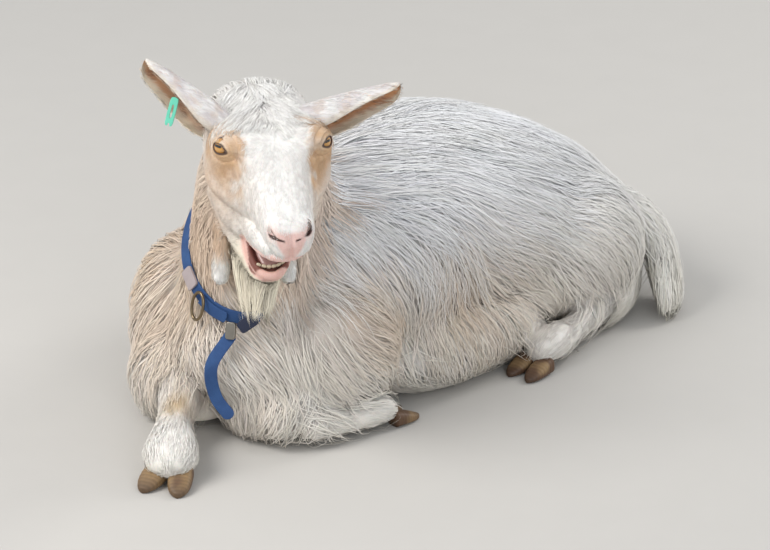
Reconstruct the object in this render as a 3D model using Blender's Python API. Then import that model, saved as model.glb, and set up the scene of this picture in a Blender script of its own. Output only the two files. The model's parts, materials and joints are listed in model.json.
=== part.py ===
# A pygmy goat lying down, a still life-size model. It faces -Y, its left side is +X, the floor is z = 0.
import math

import bmesh
import bpy
import numpy as np
from mathutils import Vector
from mathutils.bvhtree import BVHTree

for old in list(bpy.data.objects):
    bpy.data.objects.remove(old, do_unlink=True)

# The gaps between neighbours are in metres. All other lengths are in centimetres and are scaled by cm.
cm = 0.01
gap = 0.0004
tail_gap = 0.0011

# The head turns to the goat's left and hangs forward, in degrees.
head_yaw = 50.0
head_pitch = 29.0
head_roll = 0.5
head_origin = (1.45, -23.8, 37.9)
eye_radius = 1.32
eye_place = (5.7, 9.8, 3.3)
ear_width = 5.0
ear_wall = 0.32

# The webbing lies in a plane that is given by a point and its normal.
collar_centre = (1.0, -25.4, 20.6)
collar_normal = (0.384, -0.548, 0.743)
collar_width = 1.5
collar_thick = 0.3
collar_sunk = 0.06
collar_steps = 36

# Locks of the coat over the trunk, and how far the trunk is drawn in under them.
lock_depth = 0.7
lock_length = 14.5
lock_width = 4.7
lock_thick = 1.25
lock_spacing = 6.4
neck_lock_length = 6.0
neck_lock_width = 3.2
neck_lock_spacing = 4.4
tail_lock_length = 6.5
tail_lock_count = 12
beard_length = 9.6
beard_lock_count = 13
poll_lock_length = 5.6
poll_lock_rows = 6

# Triangles that the merged skins are brought down to.
body_voxel = 0.8
budget = {"body": 1400, "torso": 3050, "neck": 470, "head": 2150, "jaw": 900, "tail": 700}

colours = {
    "coat": (0.80, 0.74, 0.64),
    "skin": (0.72, 0.50, 0.42),
    "horn": (0.20, 0.13, 0.08),
    "eye": (0.45, 0.25, 0.06),
    "tongue": (0.45, 0.38, 0.42),
    "blue": (0.03, 0.14, 0.42),
    "dark": (0.02, 0.03, 0.07),
    "metal": (0.45, 0.40, 0.33),
    "tag": (0.05, 0.50, 0.38),
    "grey": (0.48, 0.44, 0.44),
}


def unit(v):
    v = np.asarray(v, float)
    return v / np.maximum(np.linalg.norm(v, axis=-1, keepdims=True), 1e-12)


def mesh_object(name, verts, faces):
    # Every four-sided face is parted along its first diagonal, so a grown copy follows the same planes.
    parted = []
    for f in faces:
        f = [int(i) for i in f]
        for k in range(1, len(f) - 1):
            parted.append((f[0], f[k], f[k + 1]))
    mesh = bpy.data.meshes.new(name)
    mesh.from_pydata([tuple(v) for v in np.asarray(verts, float)], [], parted)
    mesh.update()
    obj = bpy.data.objects.new(name, mesh)
    bpy.context.scene.collection.objects.link(obj)
    face_out(obj)
    return obj


def face_out(obj):
    bm = bmesh.new()
    bm.from_mesh(obj.data)
    bmesh.ops.recalc_face_normals(bm, faces=bm.faces)
    if bm.calc_volume(signed=True) < 0:
        bmesh.ops.reverse_faces(bm, faces=bm.faces)
    bm.to_mesh(obj.data)
    bm.free()


def grid_faces(rings, count):
    # Faces between rings of count points, and fans from the last two points that close both ends.
    faces = []
    for i in range(rings - 1):
        for j in range(count):
            k = (j + 1) % count
            faces.append((i * count + j, i * count + k, (i + 1) * count + k, (i + 1) * count + j))
    last = (rings - 1) * count
    for j in range(count):
        k = (j + 1) % count
        faces.append((j, rings * count, k))
        faces.append((last + j, last + k, rings * count + 1))
    return faces


def loop_faces(rings, count):
    # Faces between rings of count points, with the last ring joined to the first.
    faces = []
    for i in range(rings):
        k = (i + 1) % rings
        for j in range(count):
            q = (j + 1) % count
            faces.append((i * count + j, k * count + j, k * count + q, i * count + q))
    return faces


def closed_rings(name, rings):
    # Rings (n, m, 3) joined in order; both ends close on their middle point.
    n, m, _ = rings.shape
    verts = np.concatenate([rings.reshape(-1, 3), rings[0].mean(0)[None], rings[-1].mean(0)[None]])
    return mesh_object(name, verts, grid_faces(n, m))


def round_section(count, power):
    # Points of |x|^p + |y|^p = 1.
    ang = np.linspace(0, 2 * math.pi, count, endpoint=False)
    bend = 2.0 / power
    return (np.sign(np.cos(ang)) * np.abs(np.cos(ang)) ** bend,
            np.sign(np.sin(ang)) * np.abs(np.sin(ang)) ** bend)


def spline(points, t):
    # Catmull-Rom through the rows of points at parameters t in 0..1.
    p = np.asarray(points, float)
    n = len(p) - 1
    ext = np.concatenate([2 * p[:1] - p[1:2], p, 2 * p[-1:] - p[-2:-1]])
    s = np.clip(np.asarray(t) * n, 0, n - 1e-9)
    i = s.astype(int)
    u = (s - i)[:, None]
    a, b, c, d = ext[i], ext[i + 1], ext[i + 2], ext[i + 3]
    return 0.5 * (2 * b + (c - a) * u + (2 * a - 5 * b + 4 * c - d) * u ** 2 + (3 * b - a - 3 * c + d) * u ** 3)


def tube(name, table, count=20, steps=14, power=2.0, ref=(0, 0, 1), ends=(0.6, 0.6), grow=0.0):
    # A body along a path with rounded ends. Rows: x, y, z, half width, half height. ref is the height direction.
    rows = spline(table, np.linspace(0, 1, steps))
    path, half = rows[:, :3], rows[:, 3:5] + grow / cm
    tang = unit(np.gradient(path, axis=0))
    side = unit(np.cross(tang, np.asarray(ref, float)))
    up = unit(np.cross(side, tang))
    cx, cy = round_section(count, power)

    def ring(i, scale, shift):
        mid = path[i] + tang[i] * shift
        return mid + scale * (cx[:, None] * half[i, 0] * side[i] + cy[:, None] * half[i, 1] * up[i])

    rings = [ring(0, math.sqrt(1 - k * k), -ends[0] * half[0].mean() * k) for k in (0.92, 0.55)]
    rings += [ring(i, 1.0, 0.0) for i in range(steps)]
    rings += [ring(-1, math.sqrt(1 - k * k), ends[1] * half[-1].mean() * k) for k in (0.55, 0.92)]
    return closed_rings(name, np.array(rings) * cm)


def ball(name, centre, radii, yaw=0.0, grow=0.0, axes=None, rings=10, count=18):
    # An ellipsoid; axes holds its three unit directions as rows, or yaw turns it about z.
    if axes is None:
        c, s = math.cos(yaw), math.sin(yaw)
        axes = ((c, s, 0), (-s, c, 0), (0, 0, 1))
    axes = np.asarray(axes, float)
    r = np.asarray(radii, float) + grow / cm
    v = np.linspace(0, math.pi, rings + 2)[1:-1]
    u = np.linspace(0, 2 * math.pi, count, endpoint=False)
    vv, uu = np.meshgrid(v, u, indexing="ij")
    local = np.stack([r[0] * np.sin(vv) * np.cos(uu), r[1] * np.sin(vv) * np.sin(uu), r[2] * np.cos(vv)], -1)
    pts = np.asarray(centre, float) + local @ axes
    top = np.asarray(centre, float) + axes[2] * r[2]
    bottom = np.asarray(centre, float) - axes[2] * r[2]
    verts = np.concatenate([pts.reshape(-1, 3), top[None], bottom[None]]) * cm
    return mesh_object(name, verts, grid_faces(rings, count))


def box(name, low, high):
    x0, y0, z0 = low
    x1, y1, z1 = high
    verts = [(x, y, z) for x in (x0, x1) for y in (y0, y1) for z in (z0, z1)]
    faces = [(0, 1, 3, 2), (4, 6, 7, 5), (0, 4, 5, 1), (2, 3, 7, 6), (0, 2, 6, 4), (1, 5, 7, 3)]
    return mesh_object(name, np.array(verts) * cm, faces)


def bake(obj):
    # Puts what the modifiers give in the mesh itself.
    graph = bpy.context.evaluated_depsgraph_get()
    mesh = bpy.data.meshes.new_from_object(obj.evaluated_get(graph))
    obj.modifiers.clear()
    obj.data = mesh
    return obj


def largest_shell(bm):
    seen = set()
    best = []
    for face in bm.faces:
        if face in seen:
            continue
        stack = [face]
        seen.add(face)
        part = []
        while stack:
            now = stack.pop()
            part.append(now)
            for edge in now.edges:
                for other in edge.link_faces:
                    if other not in seen:
                        seen.add(other)
                        stack.append(other)
        if len(part) > len(best):
            best = part
    wanted = set(best)
    bmesh.ops.delete(bm, geom=[f for f in bm.faces if f not in wanted], context="FACES")


def turn_shared_edges(bm):
    # Where two flat many-sided faces got the same diagonal, one of them takes its other diagonal.
    for edge in [e for e in bm.edges if len(e.link_faces) == 4]:
        if not edge.is_valid or len(edge.link_faces) != 4:
            continue
        faces = list(edge.link_faces)
        pairs = [(f, g) for i, f in enumerate(faces) for g in faces[i + 1:] if f.normal.dot(g.normal) > 0.999]
        for f, g in pairs:
            loop = next(q for q in f.loops if q.edge == edge)
            u, v = loop.vert, loop.link_loop_next.vert
            a = next(w for w in f.verts if w not in (u, v))
            b = next(w for w in g.verts if w not in (u, v))
            if bm.edges.get((a, b)):
                continue
            first = (b.co - u.co).cross(a.co - u.co)
            second = (v.co - b.co).cross(a.co - b.co)
            if first.dot(f.normal) <= 0 or second.dot(f.normal) <= 0:
                continue
            bmesh.ops.delete(bm, geom=[f, g], context="FACES_ONLY")
            bm.faces.new((u, b, a))
            bm.faces.new((b, v, a))
            bm.normal_update()
            break


def keep_largest(obj):
    # The largest closed surface stays, in triangles.
    for way in ("BEAUTY", "EAR_CLIP"):
        bm = bmesh.new()
        bm.from_mesh(obj.data)
        bmesh.ops.triangulate(bm, faces=bm.faces, ngon_method=way)
        largest_shell(bm)
        for _ in range(3):
            turn_shared_edges(bm)
        closed = all(len(e.link_faces) == 2 for e in bm.edges)
        if closed or way == "EAR_CLIP":
            bm.to_mesh(obj.data)
            bm.free()
            break
        bm.free()
    if not closed:
        print("open surface:", obj.name)
    return obj


def combine(obj, others, operation, solver="MANIFOLD"):
    # One Boolean with a collection of closed bodies, which go away after it.
    if not others:
        return obj
    group = bpy.data.collections.new("tools")
    for other in others:
        bpy.context.scene.collection.objects.unlink(other)
        group.objects.link(other)
    mod = obj.modifiers.new("join", "BOOLEAN")
    mod.operation = operation
    mod.solver = solver
    mod.operand_type = "COLLECTION"
    mod.collection = group
    bake(obj)
    for other in list(group.objects):
        bpy.data.objects.remove(other, do_unlink=True)
    bpy.data.collections.remove(group)
    return obj


def merged(name, objs, voxel, smooth, triangles):
    # Overlapping forms become one smooth skin of about the given number of triangles.
    bm = bmesh.new()
    for obj in objs:
        bm.from_mesh(obj.data)
        bpy.data.objects.remove(obj, do_unlink=True)
    mesh = bpy.data.meshes.new(name)
    bm.to_mesh(mesh)
    bm.free()
    out = bpy.data.objects.new(name, mesh)
    bpy.context.scene.collection.objects.link(out)
    remesh = out.modifiers.new("skin", "REMESH")
    remesh.mode = "VOXEL"
    remesh.voxel_size = voxel * cm
    soft = out.modifiers.new("soft", "SMOOTH")
    soft.factor = 0.5
    soft.iterations = smooth
    bake(out)
    count = sum(len(p.vertices) - 2 for p in out.data.polygons)
    if triangles < count:
        less = out.modifiers.new("less", "DECIMATE")
        less.ratio = triangles / count
        less.use_collapse_triangulate = True
        bake(out)
    face_out(out)
    return out


def tree_of(obj):
    bm = bmesh.new()
    bm.from_mesh(obj.data)
    tree = BVHTree.FromBMesh(bm)
    bm.free()
    return tree


def head_frame():
    yaw, pitch, roll = (math.radians(a) for a in (head_yaw, head_pitch, head_roll))
    front = np.array([math.sin(yaw) * math.cos(pitch), -math.cos(yaw) * math.cos(pitch), -math.sin(pitch)])
    left = np.array([math.cos(yaw), math.sin(yaw), 0.0])
    up = np.cross(left, -front)
    left, up = left * math.cos(roll) + up * math.sin(roll), up * math.cos(roll) - left * math.sin(roll)
    return np.stack([left, front, up])


head_axes = head_frame()


def on_head(points):
    # Head places (left, front, up) in centimetres to the model's own centimetres.
    return np.asarray(head_origin, float) + np.asarray(points, float) @ head_axes


# Head: rows of front, half width of the upper part, half width of the cheeks, top and bottom.
head_rows = np.array([
    (-3.4, 2.6, 2.6, -1.6, -6.0),
    (-2.0, 4.2, 4.2, 0.6, -7.2),
    (0.0, 5.2, 5.2, 2.4, -7.6),
    (2.5, 5.9, 6.0, 4.4, -7.4),
    (5.0, 6.4, 6.6, 5.5, -6.9),
    (7.5, 6.6, 7.0, 5.9, -6.2),
    (9.5, 6.4, 7.0, 5.4, -5.5),
    (11.5, 5.3, 6.5, 4.5, -4.8),
    (13.5, 4.1, 5.2, 3.7, -4.2),
    (15.5, 3.5, 3.9, 3.0, -3.9),
    (17.5, 3.2, 3.3, 2.5, -3.8),
    (19.2, 2.95, 3.0, 1.9, -3.8),
    (20.4, 2.3, 2.5, 1.0, -3.3),
    (21.0, 1.2, 1.5, 0.1, -2.2),
])


# Bumps: place (left, front, up), spread, height. They are the same on both sides.
head_bumps = [
    ((5.9, 9.7, 3.4), (1.6, 1.9, 1.5), 0.6),
    ((4.3, 9.0, 5.0), (1.8, 2.0, 1.2), 0.35),
    ((5.6, 13.0, 1.2), (1.8, 2.2, 1.8), -0.35),
    ((0.0, 13.0, 3.9), (1.6, 3.0, 1.2), -0.25),
    ((1.9, 20.0, 1.0), (1.0, 1.0, 0.9), 0.3),
    ((3.0, 17.8, -2.6), (1.2, 1.8, 1.0), 0.3),
    ((0.0, 19.6, -3.0), (0.45, 1.6, 1.2), -0.25),
    ((0.0, 5.0, 6.0), (2.2, 3.0, 1.4), 0.25),
]


def head_form(grow=0.0, count=32, steps=26):
    # Sections across the head, wider at the cheeks below, with the bumps pushed out from a middle line.
    t = np.linspace(0, 1, steps) ** 0.96
    rows = spline(head_rows, t)
    ang = np.linspace(0, 2 * math.pi, count, endpoint=False) + math.pi / 2
    ca, sa = np.cos(ang), np.sin(ang)
    mid = (rows[:, 3] * 0.45 + rows[:, 4] * 0.55)[:, None]
    up_h = rows[:, 3][:, None] - mid
    down_h = mid - rows[:, 4][:, None]
    blend = 0.5 + 0.5 * np.tanh(sa * 3)
    wide = rows[:, 1][:, None] * blend + rows[:, 2][:, None] * (1 - blend)
    ex = 2 / (2.25 + 0.9 * np.exp(-((rows[:, :1] - 8.5) / 3.5) ** 2))
    x = np.sign(ca) * np.abs(ca) ** ex * wide
    z = mid + np.where(sa > 0, up_h, down_h) * np.sign(sa) * np.abs(sa) ** ex
    pts = np.stack([x, np.repeat(rows[:, :1], count, 1), z], -1)
    core = np.stack([np.zeros(steps), rows[:, 0], rows[:, 3] * 0.4 + rows[:, 4] * 0.6], -1)[:, None]
    out = unit(pts - core)
    side = np.sign(pts[..., 0])
    for place, size, height in head_bumps:
        d = (pts - np.array(place) * np.stack([side, side * 0 + 1, side * 0 + 1], -1)) / np.array(size)
        near = np.exp(-0.5 * (d ** 2).sum(-1))
        pts = pts + out * (height * near)[..., None]
    pts = pts + out * grow / cm
    return closed_rings("head", on_head(pts) * cm)


def eye_axes(side):
    # Out of the socket, along the lids and across them, in head places.
    out = unit((side * 0.86, 0.44, 0.26))
    along = unit(np.array([side * 0.82, -1.0, -1.36]))
    along = unit(along - out * (along @ out))
    return out, along, np.cross(out, along)


def eye_centre(side):
    # The ball stands just under the skin of the socket.
    out, along, high = eye_axes(side)
    near = np.array([side * eye_place[0], eye_place[1], eye_place[2]])
    hit = head_tree.ray_cast(Vector(on_head(near + out * 6) * cm), Vector(-(out @ head_axes)))[0]
    return np.array(hit) / cm - (out @ head_axes) * (eye_radius - 0.02)


def eye_ball(side, grow=0.0, rings=7, count=14):
    out, along, high = eye_axes(side)
    axes = np.stack([along, high, out]) @ head_axes
    return ball("eye", eye_centre(side), (eye_radius,) * 3, axes=axes, grow=grow, rings=rings, count=count)


def eye_slit(side):
    # The almond opening between the lids.
    out, along, high = eye_axes(side)
    axes = np.stack([along, high, out]) @ head_axes
    centre = eye_centre(side) + (out @ head_axes) * 1.5
    return ball("slit", centre, (1.12, 0.70, 1.3), axes=axes, rings=6, count=12)


def nostril(side):
    along = unit((side * 0.75, -0.05, 0.66))
    out = unit((side * 0.35, 0.93, -0.05))
    across = unit(np.cross(along, out))
    axes = np.stack([along, across, out]) @ head_axes
    return ball("nostril", on_head((side * 1.75, 20.2, 1.3)), (1.05, 0.36, 0.85), axes=axes, rings=6, count=12)


# Ears, by side: the tip, the way the cup opens, and how far it sags.
ear_tip = {-1: (-6.0, -33.9, 42.9), 1: (15.0, -15.6, 39.2)}
ear_face = {-1: (0.32, -0.80, -0.30), 1: (0.62, -0.72, -0.36)}
ear_drop = {-1: 0.35, 1: 0.55}


def ear(side, grow=0.0):
    # A leaf-shaped cup of half width W/2 sin(pi (0.9 t + 0.1)^0.85)^0.8, bent into an arc that opens to the tip.
    base = on_head((side * 4.9, 3.2, 2.1 if side < 0 else 1.5))
    tip = ear_tip[side]
    axis = unit(np.asarray(tip) - base)
    face = unit(np.asarray(ear_face[side]))
    face = unit(face - axis * (face @ axis))
    across = np.cross(axis, face)
    length = np.linalg.norm(np.asarray(tip) - base)
    t = np.linspace(0.0, 1.0, 12)
    leaf = np.clip(np.sin(math.pi * np.clip(t * 0.9 + 0.1, 0, 1) ** 0.85), 0, 1) ** 0.8
    half = 0.5 * ear_width * leaf + 0.12
    half = half * np.where(t < 0.15, 0.75 + t * 1.66, 1.0)
    bend = np.radians(110 - 60 * t)
    s = np.linspace(-1, 1, 9)
    radius = half / np.sin(np.minimum(bend, math.pi / 2))
    more = 1.6 * grow / cm
    phi = s[None] * (bend[:, None] + more / radius[:, None])
    reach = t * length
    reach[0] -= more
    reach[-1] += more
    wall = ear_wall * (1 - 0.35 * t)[:, None] * (1 - 0.25 * s[None] ** 2) + grow / cm * 2
    mid = base + axis * reach[:, None] - face * (0.5 * np.sin(math.pi * t))[:, None]
    mid = mid - np.array([0, 0, 1.0]) * (ear_drop[side] * np.sin(math.pi * t))[:, None]

    def sheet(off):
        r = radius[:, None] + off
        lat = np.sin(phi) * r
        dep = radius[:, None] * 0.85 - np.cos(phi) * r * 0.85
        return mid[:, None] + across * lat[..., None] + face * dep[..., None]

    outer = sheet(wall * 0.5 + grow / cm)
    inner = sheet(-wall * 0.5 - grow / cm)
    rings = np.concatenate([outer, inner[:, ::-1]], 1)
    return closed_rings("ear", rings * cm)


# Lower jaw in head places: front, left, half width, top, bottom. It swings to the right side and hangs open.
jaw_rows = np.array([
    (2.0, 0.0, 4.3, -4.5, -8.2),
    (5.0, -0.1, 5.6, -4.5, -9.1),
    (8.0, -0.3, 6.1, -4.5, -9.3),
    (11.0, -0.7, 5.4, -4.6, -9.0),
    (13.5, -1.1, 4.3, -4.9, -8.5),
    (15.5, -1.4, 3.2, -5.1, -8.0),
    (17.5, -1.7, 2.5, -5.2, -7.6),
    (19.0, -1.9, 1.95, -5.3, -7.1),
    (19.7, -2.0, 1.2, -5.5, -6.7),
])


def jaw_form(grow=0.0, count=20, steps=13):
    rows = spline(jaw_rows, np.linspace(0, 1, steps))
    cx, cz = round_section(count, 2.4)
    mid = 0.5 * (rows[:, 3] + rows[:, 4])
    high = 0.5 * (rows[:, 3] - rows[:, 4]) + grow / cm
    x = rows[:, 1][:, None] + (rows[:, 2] + grow / cm)[:, None] * cx[None]
    z = mid[:, None] + high[:, None] * cz[None]
    y = np.repeat(rows[:, :1], count, 1)
    y[0] -= grow / cm
    y[-1] += grow / cm
    return closed_rings("jaw", on_head(np.stack([x, y, z], -1)) * cm)


def mouth_floor(grow=0.0):
    axes = np.stack([(1, 0, 0), (-0.12, 0.99, 0), (0, 0, 1.0)]) @ head_axes
    return ball("floor", on_head((-1.65, 15.6, -5.1)), (1.6, 3.4, 1.0), axes=axes, grow=grow, rings=6, count=12)


def incisors():
    # Six teeth in a shallow arc, leaning out.
    teeth = []
    for a in np.linspace(-1, 1, 6):
        x = -1.9 + a * 1.15
        y = 19.25 - 0.75 * a * a
        lean = np.array([a * 0.12, 0.35, 1.0])
        axes = np.stack([unit((1, -0.5 * a, 0)), unit((0.5 * a, 1, -0.3)), unit(lean)]) @ head_axes
        teeth.append(ball("tooth", on_head((x, y, -5.05)), (0.25, 0.17, 0.62), axes=axes, rings=4, count=6))
    return teeth


def tongue(grow=0.0):
    rows = np.array([(-1.25, 12.4, -5.35, 0.9, 0.45), (-1.5, 14.6, -5.2, 1.15, 0.5),
                     (-1.75, 16.6, -5.15, 1.1, 0.45), (-1.85, 17.9, -5.1, 0.8, 0.35)])
    rows[:, :3] = on_head(rows[:, :3])
    return tube("tongue", rows, count=8, steps=5, ref=head_axes[2], grow=grow)


def beard_form(grow=0.0):
    # The short core that the beard's locks stand on.
    top = on_head((-1.6, 15.9, -7.5))
    rows = [tuple(top + (0.0, 0.0, 0.0)) + (1.7, 1.5), tuple(top + (-0.1, 0.0, -1.6)) + (1.5, 1.2),
            tuple(top + (-0.3, 0.0, -3.2)) + (0.8, 0.6)]
    return tube("beard", rows, count=10, steps=5, ref=(0.64, -0.77, 0), ends=(0.8, 0.8), grow=grow)


# Neck and trunk: rows of x, y, z, half width, half height. They make one skin, parted at the collar's plane.
neck_rows = [
    (2.2, -25.2, 8.0, 7.2, 6.2),
    (1.3, -25.5, 13.0, 6.7, 6.2),
    (1.0, -25.4, 18.0, 6.5, 6.3),
    (0.9, -25.2, 22.5, 6.4, 6.3),
    (1.2, -24.9, 27.0, 6.2, 6.2),
    (1.7, -24.4, 31.0, 5.8, 6.0),
    (2.2, -24.6, 34.0, 4.6, 4.8),
]

nape_rows = [
    (0.2, -12.0, 20.0, 7.5, 6.0),
    (0.2, -17.0, 22.0, 7.0, 6.0),
    (0.8, -21.5, 24.8, 6.0, 5.6),
]

torso_rows = [
    (2.0, -29.6, 7.0, 8.4, 6.6),
    (0.8, -25.0, 9.4, 11.2, 9.2),
    (-0.4, -18.0, 12.2, 13.8, 13.0),
    (-1.0, -10.0, 13.2, 16.0, 14.6),
    (-0.6, -1.0, 13.0, 17.0, 14.7),
    (0.4, 8.0, 12.2, 17.0, 14.2),
    (2.2, 16.0, 10.8, 16.0, 12.6),
    (4.6, 23.0, 8.6, 13.4, 10.4),
    (7.0, 28.0, 6.6, 9.2, 7.6),
]

# Shoulders, chest, haunches and belly: centre, radii and turn about z.
body_balls = [
    ((-8.2, -24.8, 9.6), (6.7, 8.6, 10.4), 0.25),
    ((-4.2, -21.0, 18.0), (6.3, 7.0, 7.3), 0.2),
    ((9.6, -20.5, 8.8), (6.2, 8.6, 9.0), -0.2),
    ((-4.6, -29.0, 4.6), (7.6, 6.6, 7.6), 0.1),
    ((5.0, -26.6, 5.0), (6.4, 6.0, 8.0), 0.3),
    ((11.8, 17.5, 8.6), (8.4, 11.0, 9.4), -0.2),
    ((-6.6, 19.0, 8.4), (8.0, 11.0, 9.2), -0.3),
    ((4.6, 21.0, 10.4), (10.0, 10.0, 9.4), -0.3),
    ((10.0, 0.0, 5.0), (8.2, 17.0, 6.4), -0.05),
    ((-11.0, -2.0, 5.0), (8.0, 17.0, 6.4), 0.05),
    ((3.4, -28.4, 8.6), (5.6, 3.8, 6.4), 0.2),
]


def body_form():
    # The trunk's forms are drawn in by the depth of the locks that lie over them.
    parts = [tube("barrel", torso_rows, count=30, steps=24, power=2.08, ends=(0.5, 0.55), grow=-lock_depth * cm)]
    parts.append(tube("neck", neck_rows, count=24, steps=18, ref=(0, -1, 0.1), ends=(0.5, 0.4)))
    parts.append(tube("nape", nape_rows, count=20, steps=9, ends=(0.5, 0.5)))
    for centre, radii, yaw in body_balls:
        parts.append(ball("mass", centre, radii, yaw=yaw, grow=-lock_depth * cm))
    return merged("body", parts, body_voxel, 6, budget["body"])


def half_of(obj, point, normal, shift):
    # The part of a closed body on the side that normal points to, cut off by a large block.
    n = unit(normal)
    a = unit(np.cross(n, (0.2, 1, 0.1)))
    b = np.cross(n, a)
    mid = np.asarray(point, float) + n * (shift / cm)
    reach, depth = 70, 80
    verts = []
    for h in (0, -depth):
        for u, v in ((-1, -1), (1, -1), (1, 1), (-1, 1)):
            verts.append(mid + a * u * reach + b * v * reach + n * h)
    faces = [(0, 1, 2, 3), (7, 6, 5, 4), (0, 4, 5, 1), (1, 5, 6, 2), (2, 6, 7, 3), (3, 7, 4, 0)]
    block = mesh_object("block", np.array(verts) * cm, faces)
    out = bpy.data.objects.new("half", obj.data.copy())
    bpy.context.scene.collection.objects.link(out)
    return combine(out, [block], "DIFFERENCE")


tail_rows = [
    (9.0, 24.6, 11.2, 2.4, 2.2),
    (12.8, 27.6, 10.4, 3.2, 2.4),
    (15.8, 28.6, 7.8, 3.8, 2.2),
    (18.8, 27.4, 4.4, 3.9, 1.9),
    (21.0, 25.0, 2.0, 2.9, 1.5),
    (22.2, 23.0, 1.0, 1.0, 0.9),
]


tail_up = (0.35, 0.75, 0.55)


def tail_form(grow=0.0):
    return tube("tail", tail_rows, count=18, steps=14, ref=tail_up, ends=(0.6, 0.8), grow=grow)


# Legs: rows of x, y, z, half width, half height.
leg_rows = {
    "foreleg_right": [(-6.2, -26.0, 6.6, 3.6, 3.4), (-4.0, -29.8, 6.0, 3.1, 3.0), (-1.2, -34.0, 4.7, 2.5, 2.6),
                      (0.7, -37.2, 3.5, 2.05, 2.1), (2.9, -40.0, 3.0, 2.7, 2.5), (4.4, -42.2, 2.6, 3.2, 2.3),
                      (5.1, -43.5, 2.3, 2.7, 1.8)],
    "foreleg_left": [(9.4, -20.0, 5.2, 3.2, 3.2), (9.0, -25.0, 4.2, 3.0, 3.0), (8.0, -28.8, 3.0, 2.5, 2.6)],
    "forefoot_left": [(10.9, -26.6, 2.1, 2.0, 1.9), (12.6, -22.6, 1.9, 1.8, 1.7), (13.4, -19.0, 2.0, 2.2, 1.8),
                      (13.7, -17.2, 1.9, 1.9, 1.5)],
    "hindleg_left": [(13.8, 24.2, 3.6, 2.8, 3.0), (15.7, 20.6, 3.2, 2.6, 2.8), (17.2, 15.6, 2.6, 1.8, 1.95),
                     (18.0, 10.4, 2.3, 1.75, 1.8), (18.2, 7.0, 2.4, 2.5, 2.2), (18.2, 4.6, 2.1, 2.1, 1.7)],
    "hindleg_right": [(-11.6, 24.6, 3.9, 3.0, 3.3), (-13.9, 20.6, 3.3, 2.7, 2.9), (-15.8, 15.0, 2.6, 1.8, 1.95),
                      (-16.8, 9.4, 2.3, 1.75, 1.8), (-17.0, 6.0, 2.4, 2.5, 2.2), (-17.2, 3.6, 2.1, 2.1, 1.7)],
}


def leg_form(name, grow=0.0):
    count, steps = {"foreleg_right": (12, 9), "hindleg_left": (8, 7), "hindleg_right": (8, 7)}.get(name, (8, 6))
    return tube(name, leg_rows[name], count=count, steps=steps, power=2.15, ends=(0.6, 0.7), grow=grow)


# Hooves, one half each: root, tip, half width, height at the root.
claw_rows = {
    "claw_fore_right_out": ((3.6, -42.9), (4.6, -47.0), 1.35, 2.2),
    "claw_fore_right_in": ((6.1, -42.3), (8.3, -45.6), 1.3, 2.2),
    "claw_fore_left_out": ((14.9, -17.3), (15.6, -13.8), 1.05, 1.8),
    "claw_fore_left_in": ((12.6, -17.0), (12.9, -13.5), 1.05, 1.8),
    "claw_hind_left_out": ((19.4, 4.4), (19.6, 0.6), 1.1, 1.9),
    "claw_hind_left_in": ((17.0, 4.4), (17.0, 0.6), 1.1, 1.9),
    "claw_hind_right_out": ((-18.4, 3.4), (-18.8, -0.4), 1.1, 1.9),
    "claw_hind_right_in": ((-16.0, 3.4), (-16.2, -0.4), 1.1, 1.9),
}


def claw_form(name, grow=0.0):
    # A hoof half: flat below, its wall slopes down to a rounded toe.
    (x0, y0), (x1, y1), half, high = claw_rows[name]
    g = grow / cm
    root = np.array([x0, y0])
    axis = np.array([x1 - x0, y1 - y0])
    length = np.linalg.norm(axis)
    axis = axis / length
    side = np.array([-axis[1], axis[0]])
    t = np.linspace(0, 1, 5)
    wide = (half + g) * np.sqrt(np.clip(1 - np.clip((t - 0.35) / 0.68, 0, 1) ** 2.2, 0.04, 1))
    top = high * (1 - 0.72 * t ** 1.3) + g
    cx, cz = round_section(10, 2 / 0.7)
    cz = 0.5 + 0.5 * cz
    along = -0.15 * g + t * (length + g)
    mid = root + axis * along[:, None]
    xy = mid[:, None] + side * (wide[:, None] * cx)[..., None]
    z = -g + (top + g)[:, None] * cz[None]
    return closed_rings(name, np.concatenate([xy, z[..., None]], -1) * cm)


wattle_ends = {-1: ((2.5, -30.9, 23.9), (3.2, -32.3, 19.3)), 1: ((6.6, -25.9, 23.8), (8.3, -26.9, 18.9))}


def wattle(side, grow=0.0):
    # A drop of flesh under the throat, widest near its lower end.
    top, low = (np.array(p) for p in wattle_ends[side])
    rows = [tuple(top + (low - top) * t) + (a, a * 0.9)
            for t, a in ((0, 0.45), (0.3, 0.5), (0.65, 0.72), (0.95, 0.6))]
    return tube("wattle", rows, count=8, steps=6, ref=(0.63, -0.77, 0), ends=(0.8, 0.9), grow=grow)


def blur(rows, times):
    for _ in range(times):
        rows = 0.25 * np.roll(rows, 1, 0) + 0.5 * rows + 0.25 * np.roll(rows, -1, 0)
    return rows


def band_line(tree, centre, normal, steps):
    # Where the collar's plane meets the skin, with the outward direction and the direction across the band.
    n = unit(normal)
    a = unit(np.cross((0.2, 1, 0.1), n))
    b = np.cross(n, a)
    far = 20
    points = []
    faces = []
    for ang in np.linspace(0, 2 * math.pi, steps, endpoint=False):
        way = a * math.cos(ang) + b * math.sin(ang)
        start = np.asarray(centre) + way * far
        hit = tree.ray_cast(Vector(start * cm), Vector(-way))
        points.append(np.array(hit[0]) / cm)
        faces.append(np.array(hit[1]))
    points = blur(np.array(points), 3)
    along = unit(np.roll(points, -1, 0) - np.roll(points, 1, 0))
    out = blur(np.array(faces), 4)
    out = unit(out - along * (out * along).sum(1)[:, None])
    across = np.cross(out, along)
    across = across * np.sign(across @ n)[:, None]
    return points, out, across


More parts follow.
